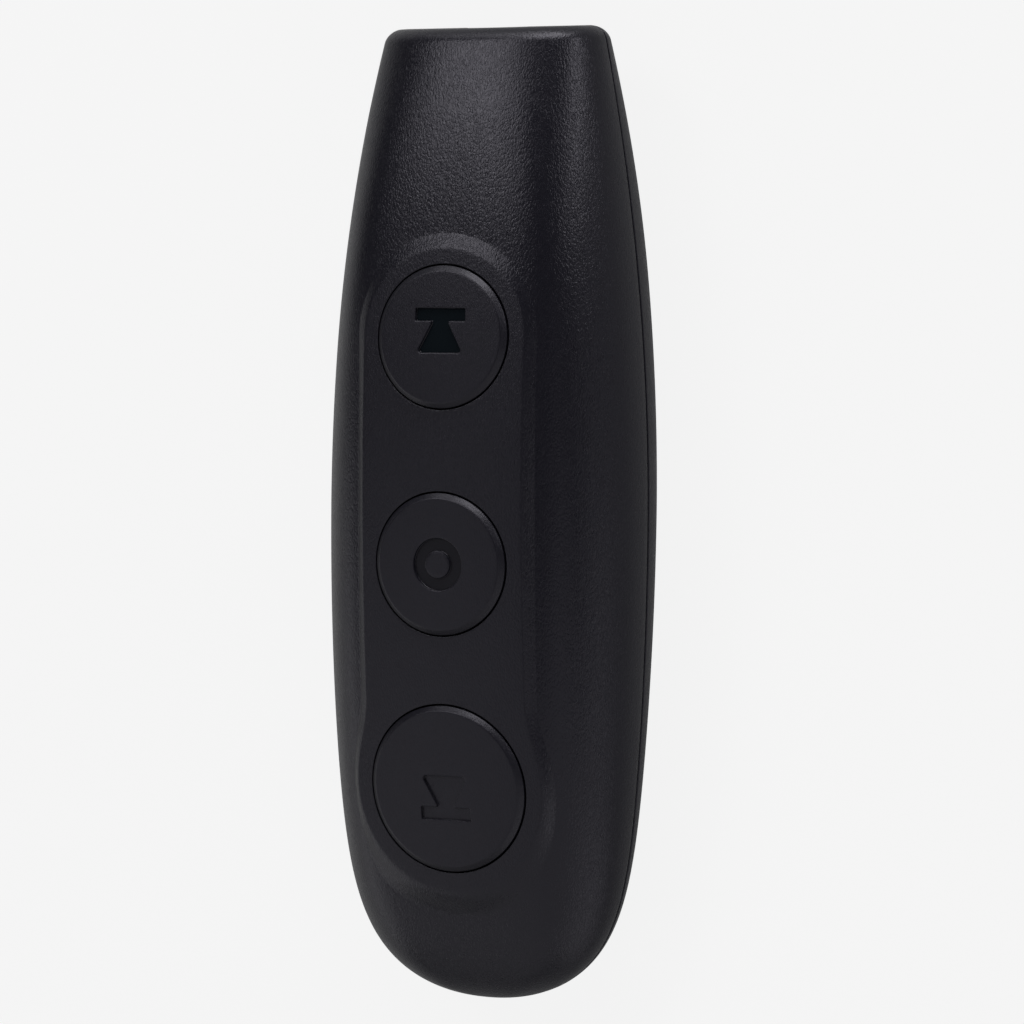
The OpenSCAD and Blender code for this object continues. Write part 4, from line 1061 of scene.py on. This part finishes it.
# Grain of the plastic: its pattern is stretched along the body, and its creases are narrow
GRAIN_STRETCH = (1, 0.5, 1)
CREASE_EDGE = 0.25
CREASE_SHARE = 0.3
PLASTIC_TINT = (0.92, 0.89, 1.0)


def plastic(name, dark, light, grain, depth, rough, specular):
    """Moulded plastic with a leathery grain: rounded cells between fine creases."""
    f = Finish(name, Specular_IOR_Level=specular, Specular_Tint=PLASTIC_TINT)
    f.place = f.stretched(GRAIN_STRETCH)
    creases = f.spread(f.cells(grain, f.wobbled(grain * 1.4, grain * 0.35)), 0, 1, 0.0, CREASE_EDGE,
                       interpolation_type="SMOOTHSTEP")
    wrinkles = f.noise(grain, 1.0, 0.4, f.wobbled(grain * 2.2, grain * 0.5))
    height = arithmetic(f.tree, "ADD", arithmetic(f.tree, "MULTIPLY", creases, CREASE_SHARE),
                        arithmetic(f.tree, "MULTIPLY", wrinkles, 1 - CREASE_SHARE))
    return f.painted(f.mix(f.noise(2.5, 3.0), dark, light),
                     f.spread(f.noise(grain * 2, 2.0), rough - 0.05, rough + 0.05), height, depth)


def metal(name, colour, rough, stretch, depth):
    """Bare metal with fine streaks and a little staining."""
    f = Finish(name, Metallic=1.0)
    streaks = f.noise(0.12, 3.0, 0.6, f.stretched(stretch))
    return f.painted(f.mix(f.noise(3.0, 3.0), colour, tuple(c * 0.82 for c in colour)),
                     f.spread(streaks, rough - 0.08, rough + 0.12), streaks, depth)


def surface(name, dark, light, rough, noises, depth, **sockets):
    """A plain surface. Its noises, of the colour, the roughness and the bump, are size mm and detail."""
    f = Finish(name, **sockets)
    colour, roughness, height = (f.noise(*noise) for noise in noises)
    return f.painted(f.mix(colour, dark, light), f.spread(roughness, *rough), height, depth)


def board_mask():
    """Green solder mask over raised tracks."""
    f = Finish("board_mask", Coat_Weight=0.3, Coat_Roughness=0.2)
    tracks = f.spread(f.cells(1.6), 0, 1, 0.04, 0.07)
    return f.painted(f.mix(tracks, (0.020, 0.130, 0.050), (0.010, 0.075, 0.030)),
                     f.spread(f.noise(0.6), 0.32, 0.46), tracks, 0.02)


def grey(red, blue):
    """A neutral colour with a little more or less blue."""
    return red, red, blue


def make_materials():
    """All materials by key. A plastic's numbers are grain mm, depth mm, roughness and specular level."""
    black = (0.0050, 0.0048, 0.0076), (0.0060, 0.0057, 0.0090)
    m = {
        "body": plastic("body_plastic", *black, 0.26, 0.034, 0.29, 0.32),
        "panel": plastic("panel_plastic", *black, 0.26, 0.030, 0.36, 0.31),
        "cap": plastic("cap_plastic", *black, 0.24, 0.018, 0.36, 0.30),
        # Floor of the previous icon's engraving: a darker colour and a weak specular level than the cap,
        # painted shade in the recess
        "icon": plastic("icon_floor_painted_shade", (0.0022, 0.0042, 0.0058), (0.0028, 0.0050, 0.0068),
                        0.2, 0.002, 0.6, 0.04),
        # Floor of the pointer's ring groove: darker than the cap, painted shade in the groove
        "groove": plastic("groove_floor_painted_shade", (0.0036, 0.0035, 0.0052), (0.0042, 0.0041, 0.0060),
                          0.2, 0.003, 0.45, 0.2),
        "inside": plastic("inside_plastic", grey(0.013, 0.015), grey(0.017, 0.019), 0.9, 0.004, 0.38, 0.4),
        "ring": plastic("ring_plastic", grey(0.006, 0.007), grey(0.009, 0.010), 0.15, 0.001, 0.16, 0.5),
        "slider": plastic("slider_plastic", grey(0.020, 0.023), grey(0.026, 0.030), 0.2, 0.004, 0.42, 0.4),
        "contact": metal("nickel_plate", (0.62, 0.60, 0.56), 0.28, (1, 1, 6), 0.002),
        "spring": metal("spring_wire", (0.60, 0.59, 0.56), 0.30, (3, 3, 3), 0.003),
        "screw": metal("screw_steel", grey(0.34, 0.35), 0.34, (2, 2, 2), 0.003),
        "brass": metal("barrel_brass", (0.55, 0.38, 0.15), 0.3, (1, 8, 1), 0.002),
        "can": metal("component_can", grey(0.55, 0.56), 0.32, (4, 1, 1), 0.002),
        "plug": metal("plug_steel", grey(0.56, 0.57), 0.24, (6, 1, 1), 0.002),
        "lens": surface("window_red", (0.20, 0.012, 0.016), (0.26, 0.018, 0.022), (0.03, 0.09),
                        ((1.5, 2.0), (0.4, 2.0), (0.8, 2.0)), 0.001, Transmission_Weight=0.6, IOR=1.49,
                        Coat_Weight=0.5, Coat_Roughness=0.03)}
    for key, dark, light in (("wrap", (0.025, 0.060, 0.095), (0.035, 0.075, 0.115)),
                             ("wrap_end", (0.34, 0.17, 0.08), (0.42, 0.22, 0.11))):
        m[key] = surface("cell_" + key, dark, light, (0.24, 0.36), ((4.0, 3.0), (0.5, 3.0), (1.2, 3.0)),
                         0.006, Coat_Weight=0.6, Coat_Roughness=0.12)
    m["board"] = board_mask()
    for key, dark, light, rough in (("chip", grey(0.012, 0.013), grey(0.020, 0.021), 0.5),
                                    ("component", (0.22, 0.13, 0.07), (0.30, 0.18, 0.10), 0.4),
                                    ("antenna", (0.62, 0.58, 0.48), (0.70, 0.66, 0.56), 0.42),
                                    ("wire", (0.36, 0.02, 0.02), (0.44, 0.03, 0.03), 0.35),
                                    ("tongue", grey(0.72, 0.70), grey(0.80, 0.78), 0.36),
                                    ("plunger", grey(0.020, 0.022), grey(0.030, 0.032), 0.36)):
        m[key] = surface(key + "_surface", dark, light, (rough - 0.06, rough + 0.06),
                         ((0.8, 3.0), (0.3, 2.0), (0.15, 2.0)), 0.003)
    return m


# The pieces in place
def face_centres(obj):
    """Centres and normals of the faces, in mm with z from the seam."""
    mesh = obj.data
    centres, normals = np.zeros((2, len(mesh.polygons) * 3))
    mesh.polygons.foreach_get("center", centres)
    mesh.polygons.foreach_get("normal", normals)
    centres = centres.reshape(-1, 3) / MM
    centres[:, 2] -= SEAM_Z
    return centres.T, normals.reshape(-1, 3)


def is_inside(x, y, depth):
    """True for the faces that lie inside a shell, at a depth below its skin."""
    return (np.abs(x) < half_width(y) * CAVITY_FX - 0.1) & (depth > 1.0) & (y < END_INNER_Y - 0.3)


def place(obj, body, node, slot, keys, index=None):
    """Gives a piece its materials, each face the one that index names, and its place in the part."""
    mesh = obj.data
    mesh.materials.clear()
    for key in keys:
        mesh.materials.append(finishes[key])
    if index is None:
        index = np.zeros(len(mesh.polygons))
    mesh.polygons.foreach_set("material_index", np.asarray(index, np.int32))
    mesh.update()
    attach(obj, body)
    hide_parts(node)


finishes = make_materials()

shell = front_shell()
(x, y, z), normal = face_centres(shell)
depth = front_z(x, y) - z
on_panel = (panel_distance(x, y) < 0.02) & (np.abs(depth) < 0.3)
place(shell, "housing", "front_shell", "shell", ["body", "panel", "inside"],
      np.where(on_panel, 1, np.where(is_inside(x, y, depth), 2, 0)))

rear = rear_shell()
(x, y, z), normal = face_centres(rear)
place(rear, "housing", "rear_shell", "shell", ["body", "inside"], is_inside(x, y, z + rear_body(x, y)))

cover = battery_cover()
place(cover, "hatch", "battery_cover", "shell", ["body", "inside"], face_centres(cover)[1][:, 2] > 0.3)

# The previous icon's floor and the pointer's groove floor take the darker materials, painted shade in the
# recesses; the next icon's floor keeps the cap's plastic
icons = (("previous", PREVIOUS_ICON, "icon"), ("pointer", POINTER_ICON, "groove"), ("next", NEXT_ICON, "cap"))
for number, (key, icon, floor_key) in enumerate(icons):
    cap = button(number, key + "_cap", icon)
    (x, y, z), normal = face_centres(cap)
    sunk = panel_z(x, y) + CAP_RISE - z
    near = np.hypot(x, y - BUTTON_YS[number]) < CAP_RS[number] - 1.6
    place(cap, key + "_press", key + "_button", "button", ["cap", floor_key],
          (np.abs(sunk - ICON_DEPTH) < 0.1) & (normal[:, 2] > 0.9) & near)

place(end_ring(), "housing", "end_window_ring", "ring", ["ring"])
place(end_window(), "housing", "end_lens", "lens", ["lens"])
place(power_knob(), "slider", "power_slider", "slider", ["slider"])
place(spring(), "housing", "battery_spring", "metal", ["spring"])
can = cell()
tags = np.zeros(len(can.data.polygons), np.int32)
can.data.polygons.foreach_get("material_index", tags)
place(can, "housing", "battery_cell", "cell", ["wrap", "contact", "wrap_end"], tags)

for key, names in {
        "brass": ["laser_barrel"], "can": ["laser_diode", "crystal", "power_switch"],
        "plug": ["receiver_plug", "previous_switch", "pointer_switch", "next_switch"],
        "wire": ["laser_wires"], "plunger": ["previous_plunger", "pointer_plunger", "next_plunger"],
        "board": ["circuit_board"], "chip": ["controller_chip", "radio_chip"],
        "component": ["small_components"], "antenna": ["chip_antenna"],
        "contact": ["positive_contact", "negative_contact"], "screw": ["board_screws", "shell_screws"],
        "inside": ["receiver_cap"], "tongue": ["receiver_tongue"]}.items():
    for name in names:
        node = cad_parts[name]
        if node.material_slots:
            for slot in node.material_slots:
                slot.material = finishes[key]
        else:
            node.data.materials.append(finishes[key])


# Floor and light
FLOOR_HALF = 3.0
FLOOR_WHITE_SHARE, FLOOR_GLOSS_SHARE = 0.87, 0.10
WORLD_LIGHT, WORLD_WHITE = 0.05, 0.97
LAMP_DISTANCE = 0.9


def seen(tree, gloss):
    """1 for rays from the camera or through glass, gloss for mirrored ones, 0 for lighting ones."""
    rays = tree.nodes.new("ShaderNodeLightPath")
    value = rays.outputs["Is Camera Ray"]
    for output, weight in (("Is Transmission Ray", 1.0), ("Is Glossy Ray", gloss)):
        value = arithmetic(tree, "MAXIMUM", value, arithmetic(tree, "MULTIPLY", rays.outputs[output], weight))
    return value


def floor():
    """White paper: partly lit by the lamps, so that it keeps a soft shadow, partly plain white."""
    mesh = bpy.data.meshes.new("floor")
    corners = [(x * FLOOR_HALF, y * FLOOR_HALF, 0) for x, y in ((-1, -1), (1, -1), (1, 1), (-1, 1))]
    mesh.from_pydata(corners, [], [(0, 1, 2, 3)])
    f = Finish("floor_paper", Specular_IOR_Level=0.0, Roughness=0.9)
    paper = f.mix(f.noise(60.0), grey(0.40, 0.40), grey(0.44, 0.44))
    white = f.node("ShaderNodeEmission").outputs[0]
    blend = f.node("ShaderNodeMixShader")
    share = arithmetic(f.tree, "MULTIPLY", seen(f.tree, FLOOR_GLOSS_SHARE), FLOOR_WHITE_SHARE)
    for value, socket in ((paper, f.shader.inputs["Base Color"]), (share, blend.inputs["Fac"]),
                          (f.shader.outputs["BSDF"], blend.inputs[1]), (white, blend.inputs[2]),
                          (blend.outputs[0], f.output.inputs["Surface"])):
        f.link(value, socket)
    mesh.materials.append(f.material)
    add_object("floor", mesh)


def softbox(name, direction, size, power):
    """A rectangular lamp that faces the object."""
    data = bpy.data.lights.new(name, "AREA")
    data.shape = "RECTANGLE"
    data.size, data.size_y = size
    data.energy = power
    obj = add_object(name, data)
    toward = Vector(direction).normalized()
    obj.location = toward * LAMP_DISTANCE + Vector((0, 0, SEAM_Z * MM))
    obj.rotation_euler = toward.to_track_quat("Z", "Y").to_euler()


def studio_world():
    """A dark studio whose backdrop is white where it is looked at."""
    world = bpy.data.worlds.new("studio")
    bpy.context.scene.world = world
    world.use_nodes = True
    tree = world.node_tree
    shade = tree.nodes.new("ShaderNodeMapRange")
    shade.inputs["To Min"].default_value = WORLD_LIGHT
    shade.inputs["To Max"].default_value = WORLD_WHITE
    tree.links.new(seen(tree, 0.0), shade.inputs["Value"])
    tree.links.new(shade.outputs["Result"], tree.nodes["Background"].inputs["Color"])


floor()
softbox("key_softbox", (-0.181, 0.620, 0.764), (0.371, 0.321), 1.25)
softbox("key_left_softbox", (-0.402, 0.487, 0.775), (0.251, 0.434), 1.55)
softbox("end_softbox", (-0.342, 0.915, 0.215), (0.321, 0.329), 0.87)
softbox("right_softbox", (0.843, 0.511, 0.169), (0.329, 0.192), 1.25)
softbox("edge_softbox", (0.226, 0.963, 0.144), (0.464, 0.812), 8.00)
softbox("fill_softbox", (0.246, -0.718, 0.651), (2.190, 1.115), 4.40)
softbox("over_softbox", (-0.469, -0.241, 0.849), (0.447, 0.650), 0.62)
softbox("low_right_softbox", (0.813, -0.579, 0.060), (1.345, 0.296), 1.56)
softbox("low_left_softbox", (-0.893, -0.428, 0.141), (0.781, 0.683), 1.74)
studio_world()
